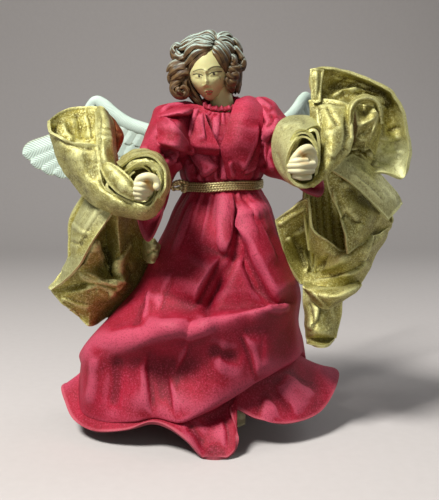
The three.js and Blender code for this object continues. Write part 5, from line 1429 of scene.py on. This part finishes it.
def turned_head(x, y, z):
    c, s = math.cos(HEAD_TURN), math.sin(HEAD_TURN)
    x, y = x * c - y * s, x * s + y * c
    c, s = math.cos(HEAD_TILT), math.sin(HEAD_TILT)
    x, z = x * c + z * s, -x * s + z * c
    return np.stack([x, y, z], -1) + HEAD_CENTRE


# A ball with most of its points drawn to the front, narrowed at the jaw and flattened over the brow
def head_cast():
    face = sphere(220, 330)
    ball = points_of(face)
    turn = np.arctan2(ball[:, 0], -ball[:, 1])
    turn = turn - 0.55 * np.sin(turn)
    flat = np.hypot(ball[:, 0], ball[:, 1])
    x, y, z = flat * np.sin(turn), -flat * np.cos(turn), ball[:, 2]
    jaw = 1 - 0.27 * ease(-z, 0.1, 1.0)
    y = y * (1 - 0.25 * ease(z, 0.45, 0.8))
    points = turned_head(HEAD_HALF[0] * x * jaw, HEAD_HALF[1] * y, HEAD_HALF[2] * z)
    column, row = picture(points)
    front = ease(-y, 0.25, 0.6)
    out = np.zeros(len(points))
    for line, width, lift in FACE_STROKES:
        out += lift * near_line(column, row, line, width)
    points += TO_CAMERA * (out * front)[:, None]
    place_points(face, points)
    column, row = picture(points)
    colour = np.zeros((len(points), 4))
    for line, width, paint, cover in FACE_PAINT:
        away = to_line(column, row, line)[0]
        mask = cover * (1 - ease(away, 0.55 * width, 1.35 * width)) * front
        colour[mask > colour[:, 3], :3] = paint
        colour[:, 3] = np.maximum(colour[:, 3], mask)
    girth = np.interp(np.linspace(0, 1, NECK_RINGS), [0, 0.25, 0.6, 1], [8.2, 7.3, 7.0, 7.4])
    neck_path = through(NECK_PATH, NECK_RINGS)
    neck = mesh_piece("neck", *tube(neck_path, girth, girth, np.array([0.0, -1.0, 0.0]), 48))
    count = len(neck.data.vertices)
    point_values(neck.data, "hollow", np.zeros(count))
    point_colours(neck, np.zeros(count * 4))
    point_colours(face, colour)
    point_values(face.data, "hollow", 0.2 * np.clip(-out, 0, 1.2) * front)
    solid_piece(joined("head_cast", [face, neck]), 80, FACE, "head")


head_cast()

# Locks of hair as picture column, row and depth along each, with the half-width
FRONT_LOCKS = (
    ([(217, 38, -9), (210, 33, -6), (200, 35.5, -4), (190, 38.5, -4), (178.5, 44.5, -3)], 3.2),
    ([(215, 41, -13), (207, 37, -12), (199, 39.5, -11), (188, 41.5, -9), (179, 47, -7)], 2.9),
    ([(214, 43, -15.5), (206, 41.5, -16), (198, 39.5, -15), (190, 44.5, -13), (184, 48, -10),
      (178, 49, -8)], 2.6),
    ([(213, 46, -17), (204, 45.6, -18.5), (195, 45.5, -17.5), (188, 51, -15.5), (182, 60, -13)], 2.5),
    ([(212, 48.5, -18), (203, 49.5, -18.5), (195, 53, -18), (189, 60.5, -15.5), (183, 67, -13)], 2.2),
    ([(210, 51, -18.5), (203, 53.5, -18.4), (196, 58.5, -17.6), (191, 65.5, -15.6), (189, 73, -13)], 2),
    ([(183, 46, -8), (176, 45.5, -7), (172.5, 50.5, -7.5), (175, 56, -9), (181, 54, -10.5)], 2.5),
    ([(187, 55, -13), (180, 57.5, -12), (176, 54.5, -9), (174, 50, -6)], 2.2),
    ([(188, 62, -12), (180, 61.5, -11), (172, 65.5, -9), (166.5, 72, -8)], 2.9),
    ([(189, 66, -12), (182, 66, -12.5), (175, 69, -11.5), (168, 75.5, -9)], 2.7),
    ([(190, 70, -12), (184, 71.5, -12.8), (178, 74.5, -12), (171, 80.5, -10)], 2.7),
    ([(185, 66, -6), (177, 70, -4), (171, 77, -4), (171, 85, -5)], 4.2),
    ([(190, 79, -10), (181, 79.5, -11), (174, 84, -10), (172, 90, -9.5), (176, 95.5, -10), (183, 96, -11),
      (187, 91.5, -12), (184, 87, -13), (180, 88.5, -13.5)], 2.4),
    ([(187, 88, -9), (184, 93, -10), (180, 93, -12), (177.5, 90, -13), (179.5, 87, -13.5)], 2),
    ([(188, 74, -10), (184, 81, -10), (186, 89, -9), (191, 96, -8)], 2.6),
    ([(187, 69, -11), (187, 79, -10), (191, 89, -8), (197, 98, -6), (204, 107, -4)], 2),
    ([(186, 80, -6), (189, 92, -5), (196, 101, -4), (204, 109, -3)], 2.8),
    ([(192, 85, 0), (196, 97, 1), (203, 106, 0)], 4.2),
    ([(215, 41, -15), (221, 45, -16), (226.5, 52, -15.5), (229, 60, -13.5), (227, 68, -12.5)], 2.6),
    ([(213.5, 46, -17.5), (218.5, 50, -18.5), (223, 57, -17.5), (226, 65, -15), (227, 74, -13)], 2.5),
    ([(212.5, 50, -18.5), (217, 54.5, -18.8), (221, 61, -17.8), (224, 67, -15.5), (225.8, 73, -13.4)], 1.9),
    ([(217, 39.5, -12), (221, 36, -9), (227, 34.5, -6), (230.5, 37.5, -4), (229, 42, -4)], 2.6),
    ([(217, 40, -14), (224, 38.5, -12), (230, 41, -9), (235, 46, -7)], 2.7),
    ([(219, 43, -15), (227, 44.5, -13), (232, 50, -11), (233.5, 57, -10)], 2.7),
    ([(230, 38, -6), (236, 42, -5), (240, 49, -4.5), (241.5, 57, -5)], 2.7),
    ([(233, 46, -9), (238, 51, -8.5), (242, 57.5, -8), (243.5, 64, -7.5)], 2.6),
    ([(229, 54, -12.5), (234, 57.5, -13), (234, 63, -13.5), (229.5, 63.5, -13.5)], 2.1),
    ([(240, 57, -9), (244, 61, -8), (242.5, 67.5, -9), (238, 67.5, -11), (237.5, 63.5, -12)], 2.3),
    ([(227.5, 66, -13), (233, 69, -13.4), (238.5, 68.5, -11.5), (241.5, 65.5, -9)], 2.5),
    ([(227, 71, -12.5), (231.5, 75, -13.4), (236.5, 75, -12.5), (239.5, 70.5, -10)], 2.6),
    ([(227, 76, -12), (229.5, 81, -12.6), (234.5, 82, -12), (237.5, 77.5, -10)], 2.6),
    ([(227, 80, -10.5), (229.5, 85.5, -11), (233, 88, -10), (235.5, 84, -8)], 2.3),
    ([(234, 70, -4), (236.5, 79, -3), (234, 88, -4)], 3.6),
    ([(236, 48, 0), (239, 58, 1), (239, 70, 0)], 4.6),
    ([(230, 86, -6), (231.5, 90, -6), (232.5, 94, -6)], 2),
)
# Rows of wavy locks combed down over the back of the head: the shares of the way down that they go over,
# how far they stand out and how many there are
BACK_ROWS = ((0.05, 0.55, 0.0, 11), (0.3, 0.85, 1.2, 13), (0.55, 1.1, 1.6, 13))
BACK_LOCK_WIDTH = 3.2
SKULL_CENTRE = (-7.5, 0.5, 231.5)
SKULL_HALF = (18.5, 15.5, 19.5)
# The closed cap under the locks, the point they stand out from, and the rings and sides of each lock
CAP_CENTRE = np.array([-7.5, -2.8, 233.0])
CAP_HALF = np.array([14.8, 14.8, 19.2])
HAIR_MIDDLE = np.array([-7.0, 0.0, 228.0])
LOCK_RINGS = 30
LOCK_SIDES = 30


def back_locks():
    rows = []
    for layer, (start, end, swell, count) in enumerate(BACK_ROWS):
        wide, deep, tall = (half + swell for half in SKULL_HALF)
        for k in range(count):
            turn = math.radians(np.interp(k, [0, count - 1], [-112, 104]) + 6 * (layer % 2))
            share = np.linspace(start, end, 7)
            lean = 0.10 * np.sin(share * 16 + k * 1.7 + layer)
            fall = share * math.radians(128)
            reach = np.sin(np.minimum(fall, math.radians(100)))
            points = np.stack([
                SKULL_CENTRE[0] + wide * reach * np.sin(turn + lean),
                SKULL_CENTRE[1] + deep * reach * np.cos(turn + lean),
                SKULL_CENTRE[2] + tall * np.cos(fall),
            ], -1)
            rows.append((points, BACK_LOCK_WIDTH))
    return rows


def drawn_limbs(limbs):
    return [(np.array([seen(*p) for p in points]), sizes) for points, sizes in limbs]


def hair_cast():
    places, surfaces, crests = [], [], []
    total = 0
    share = np.linspace(0, 1, LOCK_RINGS)
    angle = around_ring(LOCK_SIDES)[None]
    for number, (points, wide) in enumerate(drawn_limbs(FRONT_LOCKS) + back_locks()):
        path = through(points, LOCK_RINGS)
        swell = np.clip(np.minimum(share / 0.16, (1 - share) / 0.3), 0.03, 1) ** 0.55
        twist = 2.2 * share + number * 0.7
        sway = (twist + 0.9 * np.sin(7 * share + number))[:, None]
        strand = 0.5 + 0.5 * np.cos(5 * angle + sway)
        fine = 0.5 + 0.5 * np.cos(11 * angle - 1.4 * sway + 0.6 * np.sin(13 * share + number)[:, None])
        ridge = 0.6 * strand**0.7 + 0.4 * fine
        relief = (0.86 + 0.22 * ridge) * (1 + 0.05 * np.sin(11 * share + 2 * number))[:, None]
        outward = unit(path - HAIR_MIDDLE)
        made, faces = tube(path, 1.12 * wide * swell, 0.62 * wide * swell, outward, LOCK_SIDES, relief)
        places.append(made)
        surfaces.extend(tuple(i + total for i in face) for face in faces)
        crests.append(np.concatenate([ridge.ravel(), [0.5, 0.5]]))
        total += len(made)
    locks = mesh_piece("locks", np.concatenate(places), surfaces)
    point_values(locks.data, "crest", np.concatenate(crests))
    cap = sphere(48, 32)
    place_points(cap, points_of(cap) * CAP_HALF + CAP_CENTRE)
    hair = joined("hair_cast", [locks, cap])
    recalculate(hair)
    heights = points_of(hair)[:, 2] * PER_METRE
    # Painted highlight from above: how far each point faces up and how high it lies
    top_highlight = ease(normals_of(hair)[:, 2], -0.15, 0.6) * (0.25 + 0.75 * ease(heights, 224, 244))
    point_values(hair.data, "top_highlight", top_highlight)
    smooth_shade(hair, 70)
    dress(hair, [HAIR], ["hair"])


hair_cast()


# Cast skin: rounds of evening out that show its hollows, the depth of a full one, the colour of stains
# and the grain that hands and feet are fused at
HOLLOW_ROUNDS = 14
HOLLOW_DEPTH = 0.55
STAIN = (0.72, 0.34, 0.06)
HAND_GRAIN = 0.32
FOOT_GRAIN = 0.4


# Hollows of a mesh: how far each point lies under its neighbours' mean, 0 to 1
def hollows(obj):
    points = points_of(obj) * PER_METRE
    edges = np.zeros(len(obj.data.edges) * 2, np.int32)
    obj.data.edges.foreach_get("vertices", edges)
    one, two = edges.reshape(-1, 2).T
    count = np.maximum(np.bincount(edges, minlength=len(points)), 1)
    even = points.copy()
    for _ in range(HOLLOW_ROUNDS):
        total = np.zeros_like(even)
        np.add.at(total, one, even[two])
        np.add.at(total, two, even[one])
        even = total / count[:, None]
    return np.clip(np.sum((even - points) * normals_of(obj), -1) / HOLLOW_DEPTH, 0, 1)


# Limbs put together from balls, fused and smoothed: each limb a path with its radii
def fused(name, node, limbs, grain, rounds, stains=()):
    ball = sphere(16, 10)
    round_points = points_of(ball)
    copies = []
    for path, radii in limbs:
        length = np.linalg.norm(np.diff(path, axis=0), axis=1).sum()
        count = max(2, int(length / (0.35 * min(radii))) + 1)
        sizes = np.interp(np.linspace(0, 1, count), np.linspace(0, 1, len(radii)), radii)
        for centre, size in zip(through(path, count), sizes):
            copies.append(copied(ball))
            place_points(copies[-1], round_points * size + centre)
    bpy.data.objects.remove(ball)
    whole = joined(name, copies)
    remesh = whole.modifiers.new("fuse", "REMESH")
    remesh.mode = "VOXEL"
    remesh.voxel_size = grain / PER_METRE
    soft = whole.modifiers.new("soft", "SMOOTH")
    soft.factor = 0.5
    soft.iterations = rounds
    finish_modifiers(whole)
    point_values(whole.data, "hollow", hollows(whole))
    column, row = picture(points_of(whole) * PER_METRE - FIGURE_ORIGIN)
    colour = np.zeros((len(column), 4))
    colour[:, :3] = STAIN
    for line, width, cover in stains:
        colour[:, 3] = np.maximum(colour[:, 3], cover * near_line(column, row, line, width))
    point_colours(whole, colour)
    smooth_shade(whole, 80)
    dress(whole, [SKIN], [node])


RIGHT_FIST = (
    ([(148, 183, -73), (147, 190, -72)], [4, 3.8]),
    ([(149, 186, -72), (149, 186, -58)], [3.8, 3.6]),
    ([(136.5, 183, -78), (140, 178.5, -79), (147, 176.5, -79.5), (153.5, 178, -79), (157, 182.5, -78.5)],
     [1.7, 2.1, 2.3, 2.2, 2]),
    ([(157, 183, -78), (156.5, 187, -79.5)], [2.1, 2]),
    ([(148, 185.5, -77), (142, 185, -80), (136.2, 184.8, -79)], [1.5, 1.6, 1.5]),
    ([(148, 190, -77), (141.5, 189.6, -80), (135.4, 189, -79)], [1.4, 1.55, 1.5]),
    ([(147, 194.4, -76), (141, 194, -79), (135.2, 193.4, -78)], [1.4, 1.5, 1.45]),
    ([(145.5, 198.4, -75), (140.5, 198.2, -78), (136.6, 197.6, -77)], [1.3, 1.4, 1.3]),
)
LEFT_FIST = (
    ([(307, 154, -74), (310, 162, -73.5), (304, 171, -73)], [4.3, 4.5, 4.2]),
    ([(308, 160, -72), (308, 160, -58)], [4.2, 3.8]),
    ([(313, 153, -76), (308.5, 148.8, -78), (302, 150.5, -80), (296.5, 155, -81), (292.5, 159.4, -80.5)],
     [2.2, 2.6, 2.4, 1.9, 1.5]),
    ([(306, 160.5, -80), (298, 160.8, -82), (291, 162, -81)], [1.7, 1.6, 1.4]),
    ([(313, 164, -78), (301, 165.3, -82), (289.2, 166, -81)], [1.8, 1.7, 1.5]),
    ([(312, 170.6, -77.5), (301, 171, -81.5), (290, 170.8, -80.5)], [1.8, 1.7, 1.5]),
    ([(309, 177, -76), (301.5, 177.4, -79.5), (294.6, 176, -79)], [1.7, 1.7, 1.5]),
)
RIGHT_STAINS = (([(147, 181), (149, 186)], 3.0, 0.6), ([(151, 188), (153, 190)], 2.0, 0.7))
LEFT_STAINS = (([(299, 152), (304, 156)], 2.8, 0.6), ([(300, 162.5), (308, 163)], 1.6, 0.35))
for side, fist, stains in (("right", RIGHT_FIST, RIGHT_STAINS), ("left", LEFT_FIST, LEFT_STAINS)):
    fused(f"hand_{side}_cast", f"hand_{side}", drawn_limbs(fist), HAND_GRAIN, 5, stains)

TOE_LENGTHS = (4.6, 4.4, 3.9, 3.2, 2.5)


def foot_limbs(x, side):
    limbs = [
        ([[x, -2, 40], [x, -4, 28], [x, -8, 18], [x + 0.4, -16, 11]], [3.6, 4, 4.6, 4]),
        ([[x, -5, 19], [x, -1.5, 14]], [4.2, 3.6]),
    ]
    for k, long in enumerate(TOE_LENGTHS):
        across = side * (2.6 - 1.3 * k)
        tip = [x + across * 1.15, -19.5 - 0.55 * long, 8.2 - 0.5 * long]
        limbs.append(([[x + across, -15, 10.4], tip], [1.7, 1.35 - 0.08 * k]))
    return limbs


for side, x, inner in (("left", 12.5, -1), ("right", -11.0, 1)):
    fused(f"foot_{side}_cast", f"foot_{side}", foot_limbs(x, inner), FOOT_GRAIN, 4)


FEATHER_BARBS = 30


# One feather, a unit long and wide: a shaft, slanting barbs and a round tip
def feather_master():
    feather = primitive(bpy.ops.mesh.primitive_grid_add, x_subdivisions=8, y_subdivisions=48, size=2)
    feather.name = "feather"
    flat = points_of(feather)
    across, share = flat[:, 0], (flat[:, 1] + 1) / 2
    half = 0.5 * (0.74 + 0.26 * ease(share, 0, 0.4))
    half = half * np.sqrt(np.clip(1 - np.clip((share - 0.84) / 0.163, 0, 1) ** 2, 0.0, 1))
    shaft = np.exp(-(across / 0.12) ** 2)
    height = 0.075 * (1 - across**2) + 0.03 * shaft
    set_points(feather, np.stack([across * half, share, height], -1))
    point_values(feather.data, "groove", 0.9 * ease(np.abs(across), 0.7, 1.0) + 0.25 * (1 - share))
    point_values(feather.data, "barb", share * FEATHER_BARBS - np.abs(across) * 3.4)
    wall = feather.modifiers.new("wall", "SOLIDIFY")
    wall.thickness = 0.09
    wall.offset = -1
    finish_modifiers(feather)
    return feather


# Feathers of a wing drawn flat, root and tip outward and up: long ones, then the two rows laid over them
WING_LONG = (
    ((66, 14), (129, -8.5)), ((65.5, 12.5), (123, -15)), ((64, 11), (115, -19.5)),
    ((62, 10), (106.5, -22)), ((59.5, 9), (98, -24)), ((56.5, 8), (89, -25.8)),
    ((52.5, 6.5), (80, -27)), ((47.5, 5), (70.5, -27.8)), ((42, 3.5), (61, -28)),
    ((36, 1.5), (51.5, -27)), ((29, -0.5), (41, -25.2)), ((21, -3), (30, -22.5)),
    ((16, -4), (21, -19.5)),
)
WING_MIDDLE = (
    ((77, 24), (97, 4)), ((72, 22), (91, 0)), ((67, 19), (84, -3.5)), ((62, 16), (76.5, -6)),
    ((56, 13), (69, -8)), ((50, 11), (61.5, -9.5)), ((44, 9), (54, -10.5)),
    ((38, 7), (46.5, -11.2)), ((32, 5), (39, -11.6)), ((26, 3), (31.5, -11.8)),
    ((19, 1.5), (24, -11.5)),
)
WING_SHORT = (
    ((80, 22), (92, 12)), ((75, 24), (87, 9)), ((70, 21.5), (81, 7)), ((65, 18), (75, 5)),
    ((59, 15), (68.5, 2.5)), ((53, 12), (61.5, 0.5)), ((47, 10), (54.5, -1)),
    ((41, 8), (47.5, -2.5)), ((35, 6), (40.5, -3.8)), ((29, 4.2), (33.5, -4.8)),
    ((22, 2.2), (26, -5.5)),
)
# Each row with the width of its feathers, how far it stands out and the faces of the wing it lies on
WING_ROWS = ((WING_LONG, 15, 0.0, (1,)), (WING_MIDDLE, 10, 1.5, (1, -1)), (WING_SHORT, 8, 2.5, (1, -1)))
WING_ARM = [
    [-4, -6, 0], [18, 1, 0.6], [36, 6.5, 1], [51, 11.5, 1], [61, 17.5, 1], [70, 25, 0.6], [76, 26.5, 0.4],
    [84, 18, 0],
]
WING_ARM_RADII = [5.4, 4.8, 4.4, 4.2, 4.2, 4.0, 3.6, 2.2]
WING_ARM_RINGS = 330
WING_ARM_SIDES = 26
WING_ARM_BARBS = 72


def wing_cast(side, sign, root, sweep, lift, master):
    turn, raised = math.radians(sweep), math.radians(lift)
    out = np.array([sign * math.cos(turn), math.sin(turn), 0])
    front = np.array([sign * math.sin(turn), -math.cos(turn), 0])
    up = np.array([0.0, 0.0, 1.0])

    def placed(flat):
        u = flat[..., 0] * math.cos(raised) - flat[..., 1] * math.sin(raised)
        v = flat[..., 0] * math.sin(raised) + flat[..., 1] * math.cos(raised)
        return np.array(root) + u[..., None] * out + v[..., None] * up + flat[..., 2:] * front

    model = points_of(master)
    bend = 0.08 * np.sin(model[:, 1] * math.pi)
    pieces = []
    for row, wide, level, faces in WING_ROWS:
        for number, (start, tip) in enumerate(row):
            axis = np.array(tip, float) - np.array(start, float)
            cross = np.array([axis[1], -axis[0]]) / np.linalg.norm(axis)
            flat = np.array(start) + model[:, 1:2] * axis + (model[:, 0] + bend)[:, None] * wide * cross
            step = level + 0.5 * number / len(row) - 0.5
            for face in faces:
                deep = face * (step + model[:, 2] * wide * 0.8 + 0.8 * (1 - model[:, 1]))
                pieces.append(copied(master))
                place_points(pieces[-1], placed(np.concatenate([flat, deep[:, None]], -1)))
    path = through(WING_ARM, WING_ARM_RINGS)
    share = np.linspace(0, 1, WING_ARM_RINGS)
    girth = np.interp(share, np.linspace(0, 1, len(WING_ARM_RADII)), WING_ARM_RADII)
    girth = girth * np.clip(share / 0.02, 0.1, 1) ** 0.5
    angle = around_ring(WING_ARM_SIDES)
    barb = share[:, None] * WING_ARM_BARBS + 2.6 * np.abs(np.cos(angle))[None]
    relief = 1 + 0.022 * np.cos(FULL_TURN * barb)
    points, faces = tube(path, 1.1 * girth, 0.85 * girth, up, WING_ARM_SIDES, relief)
    arm = mesh_piece("arm", placed(points), faces)
    point_values(arm.data, "groove", np.zeros(len(arm.data.vertices)))
    point_values(arm.data, "barb", np.concatenate([barb.ravel(), [0, WING_ARM_BARBS]]))
    wing = joined(f"wing_{side}_cast", [arm] + pieces)
    solid_piece(wing, 50, WING, f"wing_{side}")


master_feather = feather_master()
wing_cast("right", -1, (-10, 24.8, 185.5), 10, 0, master_feather)
wing_cast("left", 1, (13, 25.4, 187.5), 47, 3, master_feather)
bpy.data.objects.remove(master_feather)


# A ring, with the turn of each of its points about the body and about the ring's own line
def turned_ring(segments, sides):
    ring = primitive(bpy.ops.mesh.primitive_torus_add, major_segments=segments, minor_segments=sides,
                     major_radius=1, minor_radius=0.25)
    p = points_of(ring)
    turn = np.arctan2(p[:, 0], -p[:, 1])
    around = np.arctan2(p[:, 2], np.hypot(p[:, 0], p[:, 1]) - 1)
    return ring, turn, around


# Braid round the waist: cords side by side, each twisted the other way from the next
BELT_CORDS = 4
BELT_PITCH = 1.42
BELT_CORD_RADIUS = 0.80
BELT_TWISTS = 90
BELT_HEIGHT = 157.3
BELT_HALF = (25.6, 19.6)


def belt_braid():
    cords = []
    for row in range(BELT_CORDS):
        cord, turn, around = turned_ring(420, 10)
        sense = 1 if row % 2 else -1
        strand = np.cos(2 * around + sense * BELT_TWISTS * turn)
        size = BELT_CORD_RADIUS * (1 + 0.22 * strand)
        up = (row - (BELT_CORDS - 1) / 2) * BELT_PITCH + size * np.sin(around)
        out = size * np.cos(around) + 0.25 * np.cos(3 * turn + row)
        x = (BELT_HALF[0] + out) * np.sin(turn)
        y = -(BELT_HALF[1] + out) * np.cos(turn)
        z = BELT_HEIGHT + WAIST_SLOPE * x + up + 0.25 * np.sin(5 * turn)
        place_points(cord, np.stack([WAIST_X + x, y, z], -1))
        # The twist of the strands, with which the braid's paint shades the grooves and lights the crests
        point_values(cord.data, "relief_shading", strand)
        cords.append(cord)
    solid_piece(joined("belt_braid", cords), 80, BRAID, "belt")


# The braid's looped end: places along each loop and its radius
BELT_LOOPS = (
    ([(186, 187, -16), (180, 184, -19), (174, 184.5, -20), (171, 187, -19.5), (174, 189, -18.5),
      (181, 188, -18)], 1.15),
    ([(187, 185, -17), (182, 181.5, -20), (176, 182, -21), (173, 184, -21)], 1.1),
    ([(186, 183, -17), (185, 187, -19.5), (184, 191, -17)], 1.4),
)
LOOP_RINGS = 60
LOOP_SIDES = 12


def belt_loops():
    loops = []
    share = np.linspace(0, 1, LOOP_RINGS)
    strand = np.cos(2 * around_ring(LOOP_SIDES)[None] + 40 * share[:, None])
    for points, radius in drawn_limbs(BELT_LOOPS):
        girth = np.full(LOOP_RINGS, radius)
        path = through(points, LOOP_RINGS)
        loop = mesh_piece("loop", *tube(path, girth, girth, TO_CAMERA, LOOP_SIDES, 1 + 0.2 * strand))
        # The twist of the strands, with which the braid's paint shades the grooves and lights the crests
        point_values(loop.data, "relief_shading", np.concatenate([strand.ravel(), [0, 0]]))
        loops.append(loop)
    solid_piece(joined("belt_loops", loops), 80, BRAID, "belt_knot")


belt_braid()
belt_loops()

# Collar: the robe's neck edge drawn up and rolled
COLLAR_HEIGHT = 209.3
COLLAR_HALF = (11.6, 10.4)
COLLAR_RADIUS = 1.55


def collar_roll():
    collar, turn, around = turned_ring(240, 16)
    pleat = 0.6 * np.cos(17 * turn + 0.8 * np.sin(3 * turn)) + 0.4 * np.cos(29 * turn + 1)
    size = COLLAR_RADIUS * (1 + 0.22 * pleat * (0.4 + 0.6 * np.sin(around)))
    x = (COLLAR_HALF[0] + size * np.cos(around)) * np.sin(turn)
    y = -(COLLAR_HALF[1] + size * np.cos(around)) * np.cos(turn)
    z = COLLAR_HEIGHT + NECK_SLOPE * y + size * np.sin(around) + 0.35 * pleat
    place_points(collar, np.stack([WAIST_X + x, y, z], -1))
    # The pleats, with which the robe's paint lights their crests and shades the folds between
    point_values(collar.data, "relief_shading", pleat)
    point_values(collar.data, "edge", np.zeros(len(pleat)))
    collar.name = "collar_roll"
    solid_piece(collar, 80, ROBE, "collar")


collar_roll()

# The stage: camera, lamps and a pale sweep of paper, in metres
SWEEP_WIDTH = 5
SWEEP_RUN = 4.2
SWEEP_NEAR_END = -1.6
SWEEP_START = 0.9
SWEEP_LENGTH = 0.8
SWEEP_RADIUS = 0.51


# Pale paper; what light it throws back on the figure is that of a darker table
def sweep_paper():
    paint = Paint("pale_paper")
    fibre = paint.noise(160, 3.0)
    rays = paint.node("ShaderNodeLightPath").outputs
    direct = paint.math("MAXIMUM", rays["Is Camera Ray"], rays["Is Glossy Ray"])
    shown = paint.math("MAXIMUM", direct, rays["Is Transmission Ray"])
    pale = paint.mix(fibre, (0.56, 0.525, 0.505), (0.60, 0.565, 0.545))
    paint.bump((fibre, 0.1, 0.0005))
    return paint.finish(Base_Color=paint.mix(shown, (0.20, 0.18, 0.17), pale), Roughness=0.95)


paper = primitive(bpy.ops.mesh.primitive_grid_add, x_subdivisions=2, y_subdivisions=40, size=1)
paper.name = "paper_sweep"
flat = points_of(paper)
run = (flat[:, 1] + 0.5) * SWEEP_RUN + SWEEP_NEAR_END
bend = np.clip((run - SWEEP_START) / SWEEP_LENGTH, 0, 1) * math.pi / 2
rise = SWEEP_RADIUS * (1 - np.cos(bend)) + np.maximum(run - SWEEP_START - SWEEP_LENGTH, 0)
set_points(paper, np.stack([
    flat[:, 0] * SWEEP_WIDTH,
    np.where(run < SWEEP_START, run, SWEEP_START + SWEEP_RADIUS * np.sin(bend)),
    np.where(run < SWEEP_START, 0.0, rise),
], -1))
paper.data.materials.append(sweep_paper())
bpy.ops.object.shade_smooth()


# Turns a camera or a lamp along a direction
def aim(obj, direction):
    obj.rotation_mode = "QUATERNION"
    obj.rotation_quaternion = direction.to_track_quat("-Z", "Y")


look_at = Vector(metres([0, 0, LOOK_HEIGHT]))
away = Vector((0, -LEVEL, RISE))
bpy.ops.object.camera_add()
camera = bpy.context.object
camera.data.sensor_width = SENSOR_WIDTH
camera.data.lens = CAMERA_FOCAL * SENSOR_WIDTH / PICTURE_HEIGHT
camera.data.clip_start = 0.01
camera.data.clip_end = 50
camera.location = look_at + away * (CAMERA_DISTANCE / PER_METRE)
aim(camera, -away)
bpy.context.scene.camera = camera


def softbox(name, place, size, power, tint):
    bpy.ops.object.light_add(type="AREA", location=place)
    lamp = bpy.context.object
    lamp.name = name
    lamp.data.shape = "RECTANGLE"
    lamp.data.size, lamp.data.size_y = size
    lamp.data.energy = power
    lamp.data.color = tint
    aim(lamp, look_at - lamp.location)


softbox("key", (-0.48, -0.60, 1.05), (0.30, 0.26), 22, (1.0, 0.985, 0.96))
softbox("front", (0.25, -1.3, 0.45), (0.9, 0.9), 1.4, (1.0, 0.98, 0.96))
softbox("rim", (0.9, 0.35, 0.7), (0.5, 0.8), 3, (0.96, 0.98, 1.0))

world = bpy.data.worlds.new("studio")
bpy.context.scene.world = world
world.use_nodes = True
backing = world.node_tree.nodes["Background"]
backing.inputs["Color"].default_value = (0.95, 0.97, 1.0, 1.0)
backing.inputs["Strength"].default_value = 0.10
bpy.context.scene.view_settings.view_transform = "Standard"
